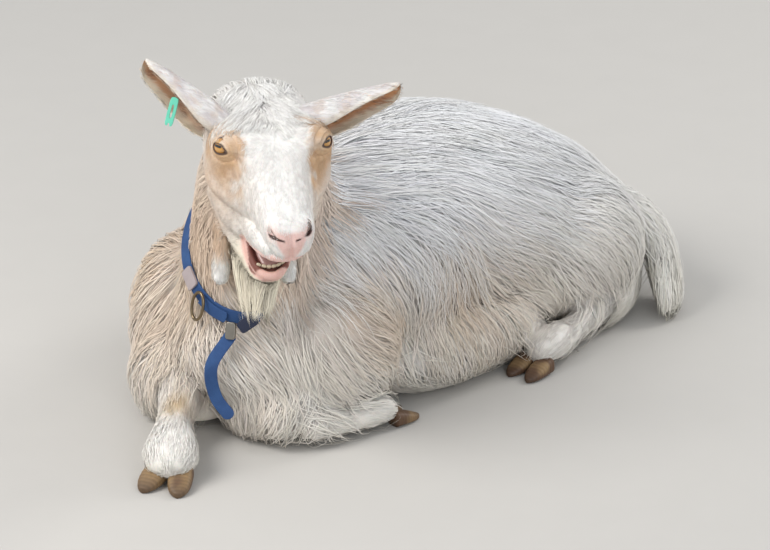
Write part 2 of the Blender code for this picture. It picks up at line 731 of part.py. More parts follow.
def ring_band(name, width, thick, lift, grow=0.0):
    # A band around the line: rectangular section that lies flat on the skin.
    g = grow / cm
    corner = [(-0.5 * width - g, lift - g), (0.5 * width + g, lift - g), (0.5 * width + g, lift + thick + g),
              (-0.5 * width - g, lift + thick + g)]
    verts = np.stack([line + line_out * w + line_across * h for h, w in corner], 1).reshape(-1, 3)
    return mesh_object(name, verts * cm, loop_faces(len(line), 4))


def strap(name, rows, width, thick, across, grow=0.0, steps=16):
    # A flat strap along a path; across is the direction of its width.
    g = grow / cm
    pts = spline(rows, np.linspace(0, 1, steps))
    tang = unit(np.gradient(pts, axis=0))
    wide = unit(np.asarray(across, float) - tang * (tang @ np.asarray(across, float))[:, None])
    out = np.cross(tang, wide)
    t = np.linspace(0, 1, steps)
    half = (0.5 * width + g) * np.sqrt(np.clip(1 - np.clip((t - 0.88) / 0.125, 0, 1) ** 2, 0.08, 1))
    pts[0] -= tang[0] * g
    pts[-1] += tang[-1] * g
    rings = []
    for a, b in ((-1, -1), (1, -1), (1, 1), (-1, 1)):
        rings.append(pts + wide * (a * half)[:, None] + out * (b * (0.5 * thick + g)))
    return closed_rings(name, np.stack(rings, 1) * cm)


def oval_ring(name, centre, normal, long_dir, radii, wire, grow=0.0, steps=18, count=5):
    # Round wire bent into an ellipse that lies across its normal.
    n = unit(normal)
    a = unit(np.asarray(long_dir, float) - n * (n @ np.asarray(long_dir, float)))
    b = np.cross(n, a)
    u = np.linspace(0, 2 * math.pi, steps, endpoint=False)
    v = np.linspace(0, 2 * math.pi, count, endpoint=False)
    c, s = np.cos(u)[:, None], np.sin(u)[:, None]
    r = wire + grow / cm
    mid = np.asarray(centre) + c[..., None] * a * radii[0] + s[..., None] * b * radii[1]
    out = unit(c[..., None] * a / radii[0] + s[..., None] * b / radii[1])
    verts = mid + out * (np.cos(v) * r)[None, :, None] + n * (np.sin(v) * r)[None, :, None]
    return mesh_object(name, verts.reshape(-1, 3) * cm, loop_faces(steps, count))


def slab(name, centre, axes, half, grow=0.0, power=5.0, count=12):
    # A block with softened edges: |x/a|^p + |y/b|^p = 1 in plan, softly closed along its third axis.
    g = grow / cm
    a, b, c = (h + g for h in half)
    axes = unit(np.asarray(axes, float))
    cx, cy = round_section(count, power)
    stack = []
    for h, s in ((-1, 0.86), (-0.75, 1.0), (0.75, 1.0), (1, 0.86)):
        local = np.stack([cx * a * s, cy * b * s, np.full(count, h * c)], -1)
        stack.append(np.asarray(centre) + local @ axes)
    return closed_rings(name, np.array(stack) * cm)


# Locks of the coat. Each is a flat bent wedge of three sides that tapers to a point.
lock_profile = np.array([
    # how far along, width, thickness, height of the underside over the skin
    (0.0, 0.72, 0.60, -0.60),
    (0.36, 1.0, 1.0, -0.28),
    (0.74, 0.66, 0.74, 0.15),
    (1.0, 0.0, 0.0, 0.75),
])


def lock_form(path, out, width, thick, grow=0.0):
    # Section at each point: two base corners and a ridge. A grown copy moves all three sides out by grow.
    g = grow / cm
    tang = unit(np.gradient(path, axis=0))
    out = unit(out - tang * (out * tang).sum(1)[:, None])
    side = np.cross(tang, out)
    n = len(lock_profile)
    w = 0.5 * width * lock_profile[:, 1]
    t = thick * lock_profile[:, 2]
    slope = np.sqrt(w ** 2 + t ** 2)
    w_grown = w + g * (slope + w) / np.maximum(t, 0.05)
    ridge = t + g * slope / np.maximum(w, 0.05)
    verts = []
    for i in range(n - 1):
        verts += [path[i] - side[i] * w_grown[i] - out[i] * g, path[i] + side[i] * w_grown[i] - out[i] * g,
                  path[i] + out[i] * ridge[i]]
    verts[0:3] = [v - tang[0] * g for v in verts[0:3]]
    verts.append(path[-1] + tang[-1] * 3 * g)
    faces = [(0, 1, 2)]
    for i in range(n - 2):
        for j in range(3):
            k = (j + 1) % 3
            faces.append((i * 3 + j, i * 3 + k, i * 3 + 3 + k, i * 3 + 3 + j))
    top = (n - 2) * 3
    for j in range(3):
        faces.append((top + j, top + (j + 1) % 3, top + 3))
    return mesh_object("lock", np.array(verts) * cm, faces)


def skin_path(tree, root, field, length, lift=1.0, lowest=0.45):
    # Follows the lie of the coat over the skin from a root, and rises from it as the profile says.
    steps = 12
    place = np.asarray(root, float)
    spots, outs = [], []
    way = None
    for _ in range(steps + 1):
        hit, normal, _, _ = tree.find_nearest(Vector(place * cm))
        hit, normal = np.array(hit) / cm, np.array(normal)
        spots.append(hit)
        outs.append(normal)
        lie = np.asarray(field(hit, normal), float)
        lie = unit(lie - normal * (lie @ normal))
        way = lie if way is None else unit(0.55 * way + 0.45 * lie)
        place = hit + way * (length / steps)
    at = lock_profile[:, 0] * steps
    k = np.clip(at.astype(int), 0, steps - 1)
    part = (at - k)[:, None]
    spots, outs = np.array(spots), np.array(outs)
    path = spots[k] * (1 - part) + spots[k + 1] * part
    out = unit(outs[k] * (1 - part) + outs[k + 1] * part)
    path = path + out * (lock_profile[:, 3] * lift)[:, None]
    path[:, 2] = np.maximum(path[:, 2], lowest)
    return path, out


def spread_roots(obj, spacing, allowed, rng, tries=9000):
    # Places on the skin that keep the given distance from one another.
    mesh = obj.data
    mesh.calc_loop_triangles()
    tri = np.array([[mesh.vertices[i].co[:] for i in t.vertices] for t in mesh.loop_triangles]) / cm
    area = np.linalg.norm(np.cross(tri[:, 1] - tri[:, 0], tri[:, 2] - tri[:, 0]), axis=1)
    pick = rng.choice(len(tri), tries, p=area / area.sum())
    a, b = rng.random((2, tries, 1))
    over = a + b > 1
    a, b = np.where(over, 1 - a, a), np.where(over, 1 - b, b)
    t = tri[pick]
    spots = t[:, 0] + (t[:, 1] - t[:, 0]) * a + (t[:, 2] - t[:, 0]) * b
    kept = []
    for spot in spots:
        if allowed(spot) and (not kept or np.linalg.norm(np.array(kept) - spot, axis=1).min() > spacing):
            kept.append(spot)
    return kept


def trunk_lie(p, n):
    # Back along the spine, down and back on the flanks, straight down at the chest, down over the rump.
    side = np.clip(abs(n[0]) * 1.3 + 0.15, 0, 1)
    chest = 1 / (1 + math.exp((p[1] + 20.0) / 2.5))
    rump = 1 / (1 + math.exp(-(p[1] - 20.0) / 3.0))
    flank = np.array([0.25 * np.sign(p[0]), 1.0 - 0.45 * side, -0.25 - 1.0 * side])
    front = np.array([0.12 * np.sign(p[0] - 1.0), 0.15, -1.0])
    back = np.array([0.1, 0.75, -0.9])
    return flank * (1 - chest) * (1 - rump) + front * chest + back * rump * (1 - chest)


def behind_collar(p):
    # How far a place lies behind the collar's plane, on the trunk's side.
    return -(np.asarray(p) - np.asarray(collar_centre)) @ unit(collar_normal)


def trunk_locks(obj, tree):
    rng = np.random.default_rng(5)
    clear, lowest, full_at = 1.3, 3.2, 9.0
    roots = spread_roots(obj, lock_spacing, lambda p: behind_collar(p) > clear and p[2] > lowest, rng)
    made = []
    for root in roots:
        # Shorter next to the collar, and near the floor.
        near = min(behind_collar(root) / full_at, 1.0)
        length = lock_length * (0.75 + 0.25 * near) * rng.uniform(0.88, 1.12)
        length = min(length, 5.0 + 1.05 * root[2])
        path, out = skin_path(tree, root, trunk_lie, length)
        made.append(lock_form(path, out, lock_width * rng.uniform(0.85, 1.15), lock_thick * rng.uniform(0.85, 1.1)))
    return made


def neck_lie(p, n):
    return 0.25 * n[0], 0.25, -1.0


def neck_locks(obj, tree):
    # Locks on the back and the left side of the neck, which end above the collar.
    rng = np.random.default_rng(8)
    clear = 1.4

    def allowed(p):
        return -6.5 > behind_collar(p) > -13 and (p[1] > -27 or p[0] > 5)

    made = []
    for root in spread_roots(obj, neck_lock_spacing, allowed, rng):
        length = min(neck_lock_length, -behind_collar(root) - clear)
        path, out = skin_path(tree, root, neck_lie, length, lift=0.7)
        made.append(lock_form(path, out, neck_lock_width, 0.6))
    return made


def tail_locks(grow=0.0):
    # Locks wind round the tail's own line and point along it.
    rng = np.random.default_rng(3)
    steps = 40
    rows = spline(tail_rows, np.linspace(0.0, 1.0, steps + 1))[:, :3]

    def lie(p, n):
        near = int(np.argmin(np.linalg.norm(rows - p, axis=1)))
        return unit(rows[min(near + 1, steps)] - rows[max(near - 1, 0)])

    made = []
    for k, t in enumerate(np.linspace(0.16, 0.74, tail_lock_count)):
        i = int(t * steps)
        tang = unit(rows[i + 1] - rows[i - 1])
        turn = k * 2.4
        a = unit(np.cross(tang, tail_up))
        b = np.cross(tang, a)
        far = rows[i] + (a * math.cos(turn) + b * math.sin(turn)) * 5
        path, out = skin_path(tail_tree, far, lie, tail_lock_length * rng.uniform(0.85, 1.1), lift=0.8)
        made.append(lock_form(path, out, 3.0, 0.75, grow))
    return made


def beard_locks(grow=0.0):
    # Tapered locks from the chin, set in a spiral; the middle ones hang lowest.
    rng = np.random.default_rng(4)
    golden = 2.39996
    made = []
    down = np.array([-0.10, 0.02, -1.0])
    fore = unit(head_axes[1] * (1, 1, 0))
    left = np.cross(fore, (0, 0, -1.0))
    t = lock_profile[:, 0][:, None]
    for k in range(beard_lock_count):
        turn = k * golden
        r = math.sqrt((k + 0.5) / beard_lock_count)
        across, along = math.cos(turn) * r, math.sin(turn) * r
        root = on_head((-1.55 + across * 1.7, 15.2 + along * 2.0, -6.9))
        length = beard_length - 4.0 * r + rng.uniform(-0.5, 0.5)
        tip = root + down * length + left * across * 0.5 - fore * along * 0.4
        bow = left * across * 1.6 + fore * along * 1.1
        path = root + (tip - root) * t + bow * np.sin(math.pi * t)
        out = np.repeat(unit(left * across + fore * along)[None], len(t), 0)
        made.append(lock_form(path - out * 0.4, out, 2.1 * rng.uniform(0.85, 1.15), 0.9, grow))
    return made


def poll_locks(grow=0.0):
    # The forelock parts on the midline and sweeps out over both sides of the poll.
    rng = np.random.default_rng(6)
    rise = np.array([0.0, 0.75, 0.65, 0.3])[:, None]
    made = []
    for k in range(poll_lock_rows):
        for side in (-1, 1):
            front = 0.2 + k * 1.15 + rng.uniform(-0.2, 0.2)
            root = on_head((side * (0.55 + 0.12 * k), front, 6.5))
            way = np.array([side * 1.0, 0.35 + 0.12 * k - 0.25 * (k < 2), -0.25]) @ head_axes
            length = poll_lock_length * rng.uniform(0.85, 1.12)
            path, out = skin_path(head_tree, root, lambda p, n: way, length)
            out = unit(out + np.array([0, 0, 0.4]))
            made.append(lock_form(path + out * rise, out, 2.3 * rng.uniform(0.9, 1.15), 0.8, grow))
    return made


def joined(obj, pieces, triangles):
    # One union, of which only the largest closed surface stays, with short edges collapsed down to a count.
    keep_largest(combine(obj, pieces, "UNION"))
    count = len(obj.data.polygons)
    if triangles < count:
        less = obj.modifiers.new("less", "DECIMATE")
        less.ratio = triangles / count
        less.use_collapse_triangulate = True
        bake(obj)
        keep_largest(obj)
    return obj


# The collar's pieces.
def band_form(grow=0.0):
    return ring_band("collar_band", collar_width, collar_thick, -collar_sunk, grow=grow)


def band_spot(near, lift):
    # A place over the band next to the given point: point, outward, along the band, across it.
    k = int(np.argmin(np.linalg.norm(line - np.asarray(near, float), axis=1)))
    along = unit(line[(k + 1) % len(line)] - line[k - 1])
    return line[k] + line_out[k] * lift, line_out[k], along, line_across[k]


def slide_form(grow=0.0):
    half = 0.12
    place, out, along, across = band_spot((-1.3, -31.1, 18.4), collar_thick - collar_sunk + 0.04 + half)
    return slab("slide", place, (along, across, out), (1.2, 0.95, half), grow=grow)


def second_strap(grow=0.0):
    # The doubled end of the webbing, over the band at the front right.
    rows = []
    for near, drop in (((0.4, -31.6, 16.3), 0.1), ((1.9, -31.5, 15.6), 0.2), ((3.4, -31.3, 15.0), 0.3)):
        place, out, along, across = band_spot(near, collar_thick + 0.12)
        rows.append(tuple(place - across * drop))
    return strap("strap", rows, 1.35, 0.2, across, grow=grow, steps=8)


def ring_form(grow=0.0):
    return oval_ring("ring", (0.2, -32.6, 15.6), (-0.25, -0.95, 0.2), (0.1, 0.1, 1.0), (1.55, 1.0), 0.16, grow=grow)


def buckle_form(grow=0.0):
    out = unit((0.40, -0.86, 0.32))
    side = unit(np.cross((0, 0, 1.0), out))
    down = np.cross(side, out)
    return slab("buckle", (4.7, -32.4, 13.9), (side, down, out), (0.55, 0.95, 0.28), grow=grow)


def keeper_form(grow=0.0):
    out = unit((0.55, -0.78, 0.30))
    along = unit(np.cross((0, 0, 1.0), out) + np.array([0, 0, 0.75]))
    return slab("keeper", (6.3, -31.4, 14.9), (along, np.cross(out, along), out), (1.2, 0.7, 0.16), grow=grow)


# The loose end of the webbing hangs from the buckle in a bow.
hang_rows = [(4.6, -32.3, 13.3), (4.1, -34.9, 10.5), (4.3, -34.6, 6.9), (6.0, -34.0, 4.5)]


def hang_form(grow=0.0):
    return strap("hang", hang_rows, 1.4, 0.22, (0.78, 0.62, 0.15), grow=grow, steps=12)


tag_top = (-1.2, -34.0, 39.9)
tag_down = (-0.10, -0.30, -1.0)


def tag_form(grow=0.0, cuts=True):
    # A flat tag through the ear's lower edge, with a slot and a notch that leaves two short legs.
    top = np.array(tag_top)
    down = unit(tag_down)
    face = np.asarray(ear_face[-1], float)
    out = unit(face - down * (down @ face))
    axes = (np.cross(down, out), down, out)
    plate = slab("tag", top + down * 1.6, axes, (0.46, 1.62, 0.13), grow=grow)
    if not cuts:
        return plate
    slot = slab("slot", top + down * 1.55, axes, (0.13, 0.8, 0.5), count=8, power=3.0)
    notch = slab("notch", top + down * 3.25, axes, (0.14, 0.42, 0.5), count=8, power=3.0)
    return combine(plate, [slot, notch], "DIFFERENCE", "EXACT")


def trims(grow):
    forms = (slide_form, second_strap, ring_form, buckle_form, keeper_form, hang_form)
    return [form(grow) for form in forms]


def jaw_cut(grow=gap):
    return [jaw_form(grow), beard_form(grow)] + beard_locks(grow)


def cut(obj, tools):
    return combine(obj, tools, "DIFFERENCE")


def later(forms, name):
    # The names that come after one in a table: each body gives way to those after it.
    names = list(forms)
    return names[names.index(name) + 1:]


def floor_box():
    return box("floor", (-60, -80, -20), (60, 80, 0))


nodes = {}


def finish(name, obj, slot):
    keep_largest(obj)
    face_out(obj)
    obj.name = name
    obj.data.name = name
    mat = bpy.data.materials.new(slot + "_" + name)
    mat.use_nodes = True
    shader = mat.node_tree.nodes["Principled BSDF"]
    shader.inputs["Base Color"].default_value = colours[slot] + (1,)
    shader.inputs["Roughness"].default_value = 0.35 if slot in ("eye", "metal") else 0.8
    mat.diffuse_color = colours[slot] + (1,)
    obj.data.materials.clear()
    obj.data.materials.append(mat)
    nodes[name] = obj


# Neck and trunk are one skin, parted at the collar's plane; the locks are joined to each part.
body = body_form()
skin_tree = tree_of(body)
line, line_out, line_across = band_line(skin_tree, collar_centre, collar_normal, collar_steps)
head = head_form()
head_tree = tree_of(head)
tail = tail_form()
tail_tree = tree_of(tail)
jaw = jaw_form()

joined(head, poll_locks(), budget["head"])
neck = half_of(body, collar_centre, collar_normal, gap / 2)
torso = half_of(body, collar_centre, -unit(collar_normal), gap / 2)
joined(torso, trunk_locks(body, skin_tree), budget["torso"])
joined(neck, neck_locks(body, skin_tree), budget["neck"])
bpy.data.objects.remove(body, do_unlink=True)

# Each body gives way to its neighbours by the gap.
cut(neck, [head_form(gap)] + jaw_cut() + [band_form(gap)] + [wattle(k, gap) for k in (-1, 1)] + trims(gap))
torso_cut = [tail_form(tail_gap), floor_box(), band_form(gap)] + tail_locks(tail_gap) + trims(gap) + jaw_cut()
torso_cut += [leg_form(n, gap) for n in leg_rows] + [claw_form(n, gap) for n in claw_rows]
cut(torso, torso_cut)

head_cut = [eye_ball(k, gap) for k in (-1, 1)] + [eye_slit(k) for k in (-1, 1)]
cut(head, head_cut + [nostril(k) for k in (-1, 1)] + [ear(k, gap) for k in (-1, 1)])
joined(jaw, [beard_form()] + beard_locks(), budget["jaw"])
cut(jaw, [head_form(gap), mouth_floor()])
combine(jaw, incisors(), "UNION")
cut(jaw, [tongue(gap)])

finish("torso", torso, "coat")
finish("neck", neck, "coat")
finish("head", head, "coat")
finish("jaw", jaw, "coat")
finish("tongue", cut(tongue(), [head_form(gap)]), "tongue")
finish("tail", cut(joined(tail, tail_locks(), budget["tail"]), [floor_box()]), "coat")
for name in leg_rows:
    others = [claw_form(n, gap) for n in claw_rows] + [leg_form(n, gap) for n in later(leg_rows, name)]
    finish(name, cut(leg_form(name), others), "coat")
for name in claw_rows:
    finish(name, cut(claw_form(name), [claw_form(n, gap) for n in later(claw_rows, name)]), "horn")
finish("ear_left", ear(1), "coat")
finish("ear_right", cut(ear(-1), [tag_form(gap, cuts=False)]), "coat")
finish("eye_left", eye_ball(1), "eye")
finish("eye_right", eye_ball(-1), "eye")
for side, name in ((1, "wattle_left"), (-1, "wattle_right")):
    finish(name, cut(wattle(side), jaw_cut() + [head_form(gap), band_form(gap)]), "coat")

slide, second, ring, buckle, keeper, hang = trims(0.0)
finish("collar_band", cut(band_form(), trims(gap)), "blue")
finish("collar_slide", slide, "grey")
finish("collar_strap", cut(second, [slide_form(gap), ring_form(gap), buckle_form(gap), hang_form(gap)]), "blue")
finish("collar_ring", ring, "metal")
finish("collar_buckle", cut(buckle, jaw_cut()), "metal")
finish("collar_keeper", cut(keeper, [buckle_form(gap), hang_form(gap)] + jaw_cut()), "dark")
finish("collar_end", cut(hang, [buckle_form(gap)] + jaw_cut()), "blue")
finish("ear_tag", tag_form(), "tag")

# The origin is set under the middle of the whole animal's box, on the floor.
spots = np.array([v.co[:] for o in nodes.values() for v in o.data.vertices])
ends = np.stack([spots.min(0), spots.max(0)])
middle = np.append((ends[0, :2] + ends[1, :2]) / 2, ends[0, 2])
for obj in nodes.values():
    for vert in obj.data.vertices:
        vert.co -= Vector(middle)
print("bodies", len(nodes), "triangles", sum(len(o.data.polygons) for o in nodes.values()))
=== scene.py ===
# A still, life-size pygmy goat, lying down: skin, coat, face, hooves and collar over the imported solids.
# Tables are in centimetres, in the goat's own axes: it faces -Y, its left side is +X, the floor is z = 0.
import json
import math

import bmesh
import bpy
import numpy as np
from mathutils import Matrix, Vector
from mathutils.bvhtree import BVHTree
from mathutils.kdtree import KDTree

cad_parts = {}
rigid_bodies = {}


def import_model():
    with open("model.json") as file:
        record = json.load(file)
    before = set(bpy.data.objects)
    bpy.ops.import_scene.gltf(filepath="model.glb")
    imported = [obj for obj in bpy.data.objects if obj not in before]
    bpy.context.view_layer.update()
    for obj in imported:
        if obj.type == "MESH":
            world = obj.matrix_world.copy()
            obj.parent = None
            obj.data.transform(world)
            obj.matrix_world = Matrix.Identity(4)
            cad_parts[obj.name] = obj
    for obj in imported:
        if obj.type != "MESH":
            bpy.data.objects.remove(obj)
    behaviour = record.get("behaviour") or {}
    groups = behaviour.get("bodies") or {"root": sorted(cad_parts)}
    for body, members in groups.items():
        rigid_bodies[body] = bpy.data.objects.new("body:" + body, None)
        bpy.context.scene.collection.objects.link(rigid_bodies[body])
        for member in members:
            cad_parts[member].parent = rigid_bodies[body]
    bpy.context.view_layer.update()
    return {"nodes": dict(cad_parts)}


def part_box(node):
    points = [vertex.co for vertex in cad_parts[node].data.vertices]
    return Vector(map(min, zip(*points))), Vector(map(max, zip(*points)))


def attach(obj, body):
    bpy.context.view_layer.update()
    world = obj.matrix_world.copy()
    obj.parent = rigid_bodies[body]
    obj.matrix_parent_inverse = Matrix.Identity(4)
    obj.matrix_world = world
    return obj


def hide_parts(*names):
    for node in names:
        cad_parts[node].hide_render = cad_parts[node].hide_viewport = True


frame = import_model()
cm = 0.01

goat = {
    "headYaw": 50.0,
    "headPitch": 29.0,
    "headRoll": 0.5,
    "headOrigin": (1.45, -23.8, 37.9),
    "eyeRight": (5.692, -33.809, 35.985),
    "eyeLeft": (12.042, -26.307, 36.06),
    "eyeRadius": 1.32,
    "trunkDepth": 1.0,      # how far the skin lies inside the solids, under the long coat
    "neckDepth": 0.7,
    "legDepth": 0.22,
    "headDepth": 0.16,
    "bodyVoxel": 0.5,
    "headVoxel": 0.155,
}

lowEye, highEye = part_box("eye_right")
shift = (np.array(lowEye) + np.array(highEye)) / 2 - np.array(goat["eyeRight"]) * cm


def unit(v):
    # Vectors divided by their lengths.
    v = np.asarray(v, float)
    return v / np.maximum(np.linalg.norm(v, axis=-1, keepdims=True), 1e-12)


def smooth(x, low, high):
    # 0 below low, 1 above high, 3t^2 - 2t^3 between them.
    t = np.clip((np.asarray(x, float) - low) / (high - low), 0, 1)
    return t * t * (3 - 2 * t)


def bell(points, centre, size):
    # A Gaussian hill: exp(-|(p - centre) / size|^2 / 2).
    d = (points - np.asarray(centre, float)) / np.asarray(size, float)
    return np.exp(-0.5 * (d ** 2).sum(-1))


def signedPower(x, power):
    # |x|^power with the sign of x: a circle's cosine and sine become a superellipse's.
    return np.sign(x) * np.abs(x) ** power


def spline(points, t):
    # Catmull-Rom through the rows of points at parameters t in 0..1.
    p = np.asarray(points, float)
    n = len(p) - 1
    ext = np.concatenate([2 * p[:1] - p[1:2], p, 2 * p[-1:] - p[-2:-1]])
    s = np.clip(np.asarray(t, float) * n, 0, n - 1e-9)
    i = s.astype(int)
    u = (s - i)[:, None]
    a, b, c, d = ext[i], ext[i + 1], ext[i + 2], ext[i + 3]
    return 0.5 * (2 * b + (c - a) * u + (2 * a - 5 * b + 4 * c - d) * u ** 2 + (3 * b - a - 3 * c + d) * u ** 3)


def headFrame():
    # Rows: the head's left, front and up directions.
    yaw, pitch, roll = (math.radians(goat[k]) for k in ("headYaw", "headPitch", "headRoll"))
    front = np.array([math.sin(yaw) * math.cos(pitch), -math.cos(yaw) * math.cos(pitch), -math.sin(pitch)])
    left = np.array([math.cos(yaw), math.sin(yaw), 0.0])
    up = np.cross(left, -front)
    left, up = left * math.cos(roll) + up * math.sin(roll), up * math.cos(roll) - left * math.sin(roll)
    return np.stack([left, front, up])


headAxes = headFrame()
headOrigin = np.array(goat["headOrigin"])


def onHead(points):
    # From left, front and up of the head to the goat's own axes.
    return headOrigin + np.asarray(points, float) @ headAxes


def inHead(points):
    # From the goat's axes to left, front and up of the head.
    return (np.asarray(points, float) - headOrigin) @ headAxes.T


def linear(red, green, blue):
    # Display colour in 0..255 to the linear values that shaders take.
    c = np.array([red, green, blue]) / 255
    return np.where(c <= 0.04045, c / 12.92, ((c + 0.055) / 1.055) ** 2.4)


def makeObject(name, verts, faces, shade=True):
    # A mesh object from places in centimetres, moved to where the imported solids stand.
    mesh = bpy.data.meshes.new(name)
    mesh.from_pydata(np.asarray(verts, float) * cm + shift, [], faces)
    mesh.update()
    if shade:
        mesh.shade_smooth()
    obj = bpy.data.objects.new(name, mesh)
    bpy.context.scene.collection.objects.link(obj)
    return obj


def faceOut(obj):
    # Every face turned outward.
    bm = bmesh.new()
    bm.from_mesh(obj.data)
    bmesh.ops.recalc_face_normals(bm, faces=bm.faces)
    if bm.calc_volume(signed=True) < 0:
        bmesh.ops.reverse_faces(bm, faces=bm.faces)
    bm.to_mesh(obj.data)
    bm.free()
    return obj


def ringFaces(rings, count, firstVert=0, loop=False):
    # Four-sided faces between rings of count points; loop joins the last ring to the first.
    i = np.arange(rings if loop else rings - 1)[:, None]
    j = np.arange(count)[None]
    nextI, nextJ = (i + 1) % rings, (j + 1) % count
    quads = np.stack([i * count + j, i * count + nextJ, nextI * count + nextJ, nextI * count + j], -1)
    return (quads.reshape(-1, 4) + firstVert).tolist()


def closedRings(name, rings, shade=True):
    # A body of rings (n, m, 3); both ends close on their middle point.
    n, m, _ = rings.shape
    verts = np.concatenate([rings.reshape(-1, 3), rings[0].mean(0)[None], rings[-1].mean(0)[None]])
    j = np.arange(m)
    k = (j + 1) % m
    last = (n - 1) * m
    caps = np.concatenate([np.stack([j, np.full(m, n * m), k], -1),
                           np.stack([last + j, last + k, np.full(m, n * m + 1)], -1)])
    return faceOut(makeObject(name, verts, ringFaces(n, m) + caps.tolist(), shade))


def tubeRings(table, count=24, steps=20, power=2.0, ref=(0, 0, 1), ends=(0.6, 0.6), grow=0.0, caps=5):
    # A superellipse |x/a|^p + |y/b|^p = 1 carried along a path, with rounded ends. Rows: x, y, z, half width, height.
    rows = spline(table, np.linspace(0, 1, steps))
    path, half = rows[:, :3], rows[:, 3:5] + grow
    tang = unit(np.gradient(path, axis=0))
    side = unit(np.cross(tang, np.asarray(ref, float)))
    up = unit(np.cross(side, tang))
    ang = np.linspace(0, 2 * math.pi, count, endpoint=False)
    ex = 2.0 / power
    cx, cy = signedPower(np.cos(ang), ex), signedPower(np.sin(ang), ex)
    flat = cx[None, :, None] * half[:, :1, None] * side[:, None] + cy[None, :, None] * half[:, 1:, None] * up[:, None]
    body = path[:, None] + flat
    k = np.sin(np.linspace(0, math.pi / 2, caps + 2)[1:-1])[:, None, None]
    inset = np.sqrt(1 - k ** 2)
    first = path[0] + flat[0] * inset - tang[0] * ends[0] * half[0].mean() * k
    last = path[-1] + flat[-1] * inset + tang[-1] * ends[1] * half[-1].mean() * k
    return np.concatenate([first[::-1], body, last])


def ballRings(centre, radii, yaw=0.0, axes=None, rings=20, count=32):
    # An ellipsoid's rings from pole to pole; axes holds its unit directions as rows.
    if axes is None:
        c, s = math.cos(yaw), math.sin(yaw)
        axes = ((c, s, 0), (-s, c, 0), (0, 0, 1))
    v = np.linspace(0, math.pi, rings + 2)[1:-1, None]
    u = np.linspace(0, 2 * math.pi, count, endpoint=False)[None]
    r = np.asarray(radii, float)
    local = np.stack([r[0] * np.sin(v) * np.cos(u), r[1] * np.sin(v) * np.sin(u), r[2] * np.cos(v) + 0 * u], -1)
    return np.asarray(centre, float) + local @ np.asarray(axes, float)


def bake(obj):
    # The modifiers' result becomes the object's own mesh.
    graph = bpy.context.evaluated_depsgraph_get()
    mesh = bpy.data.meshes.new_from_object(obj.evaluated_get(graph))
    obj.modifiers.clear()
    obj.data = mesh
    return obj


def voxelJoin(name, objs, voxel, rounds):
    # Overlapping closed forms become one skin, softened a little.
    bm = bmesh.new()
    for obj in objs:
        bm.from_mesh(obj.data)
        bpy.data.objects.remove(obj, do_unlink=True)
    mesh = bpy.data.meshes.new(name)
    bm.to_mesh(mesh)
    bm.free()
    out = bpy.data.objects.new(name, mesh)
    bpy.context.scene.collection.objects.link(out)
    remesh = out.modifiers.new("skin", "REMESH")
    remesh.mode = "VOXEL"
    remesh.voxel_size = voxel * cm
    soft = out.modifiers.new("soft", "SMOOTH")
    soft.factor = 0.5
    soft.iterations = rounds
    return bake(out)


def combine(obj, others, operation):
    # One exact-manifold Boolean with a set of closed bodies, which go away after it.
    group = bpy.data.collections.new("tools")
    for other in others:
        bpy.context.scene.collection.objects.unlink(other)
        group.objects.link(other)
    mod = obj.modifiers.new("join", "BOOLEAN")
    mod.operation = operation
    mod.solver = "MANIFOLD"
    mod.operand_type = "COLLECTION"
    mod.collection = group
    bake(obj)
    for other in list(group.objects):
        bpy.data.objects.remove(other, do_unlink=True)
    bpy.data.collections.remove(group)
    return obj


def readVerts(obj):
    # The mesh's places in centimetres, in the goat's axes.
    co = np.zeros(len(obj.data.vertices) * 3, np.float32)
    obj.data.vertices.foreach_get("co", co)
    return (co.reshape(-1, 3).astype(float) - shift) / cm


def writeVerts(obj, points):
    # The way back of readVerts.
    obj.data.vertices.foreach_set("co", (points * cm + shift).astype(np.float32).ravel())
    obj.data.update()


def readNormals(obj):
    # The mesh's outward directions at its points.
    no = np.zeros(len(obj.data.vertices) * 3, np.float32)
    obj.data.vertex_normals.foreach_get("vector", no)
    return no.reshape(-1, 3).astype(float)


def addNode(tree, kind, settings, inputs, output=0):
    # A node of one kind: its settings first, then the values or links of its sockets.
    node = tree.nodes.new("ShaderNode" + kind)
    for key, value in settings.items():
        setattr(node, key, value)
    for key, value in inputs.items():
        if isinstance(value, Sock):
            tree.links.new(value.out, node.inputs[key])
        else:
            node.inputs[key].default_value = value
    return Sock(tree, node.outputs[output])


class Sock:
    # A shader socket on which the usual operators add Math nodes.

    def __init__(self, tree, out):
        self.tree = tree
        self.out = out

    def math(self, operation, *values):
        return addNode(self.tree, "Math", {"operation": operation}, dict(enumerate(values)))

    def __add__(self, other):
        return self.math("ADD", self, other)

    __radd__ = __add__

    def __mul__(self, other):
        return self.math("MULTIPLY", self, other)

    __rmul__ = __mul__

    def sine(self):
        return self.math("SINE", self)

    def above(self, low, high):
        # 0 under low, 1 over high, smooth between.
        return addNode(self.tree, "MapRange", {"interpolation_type": "SMOOTHSTEP"}, {0: self, 1: low, 2: high})


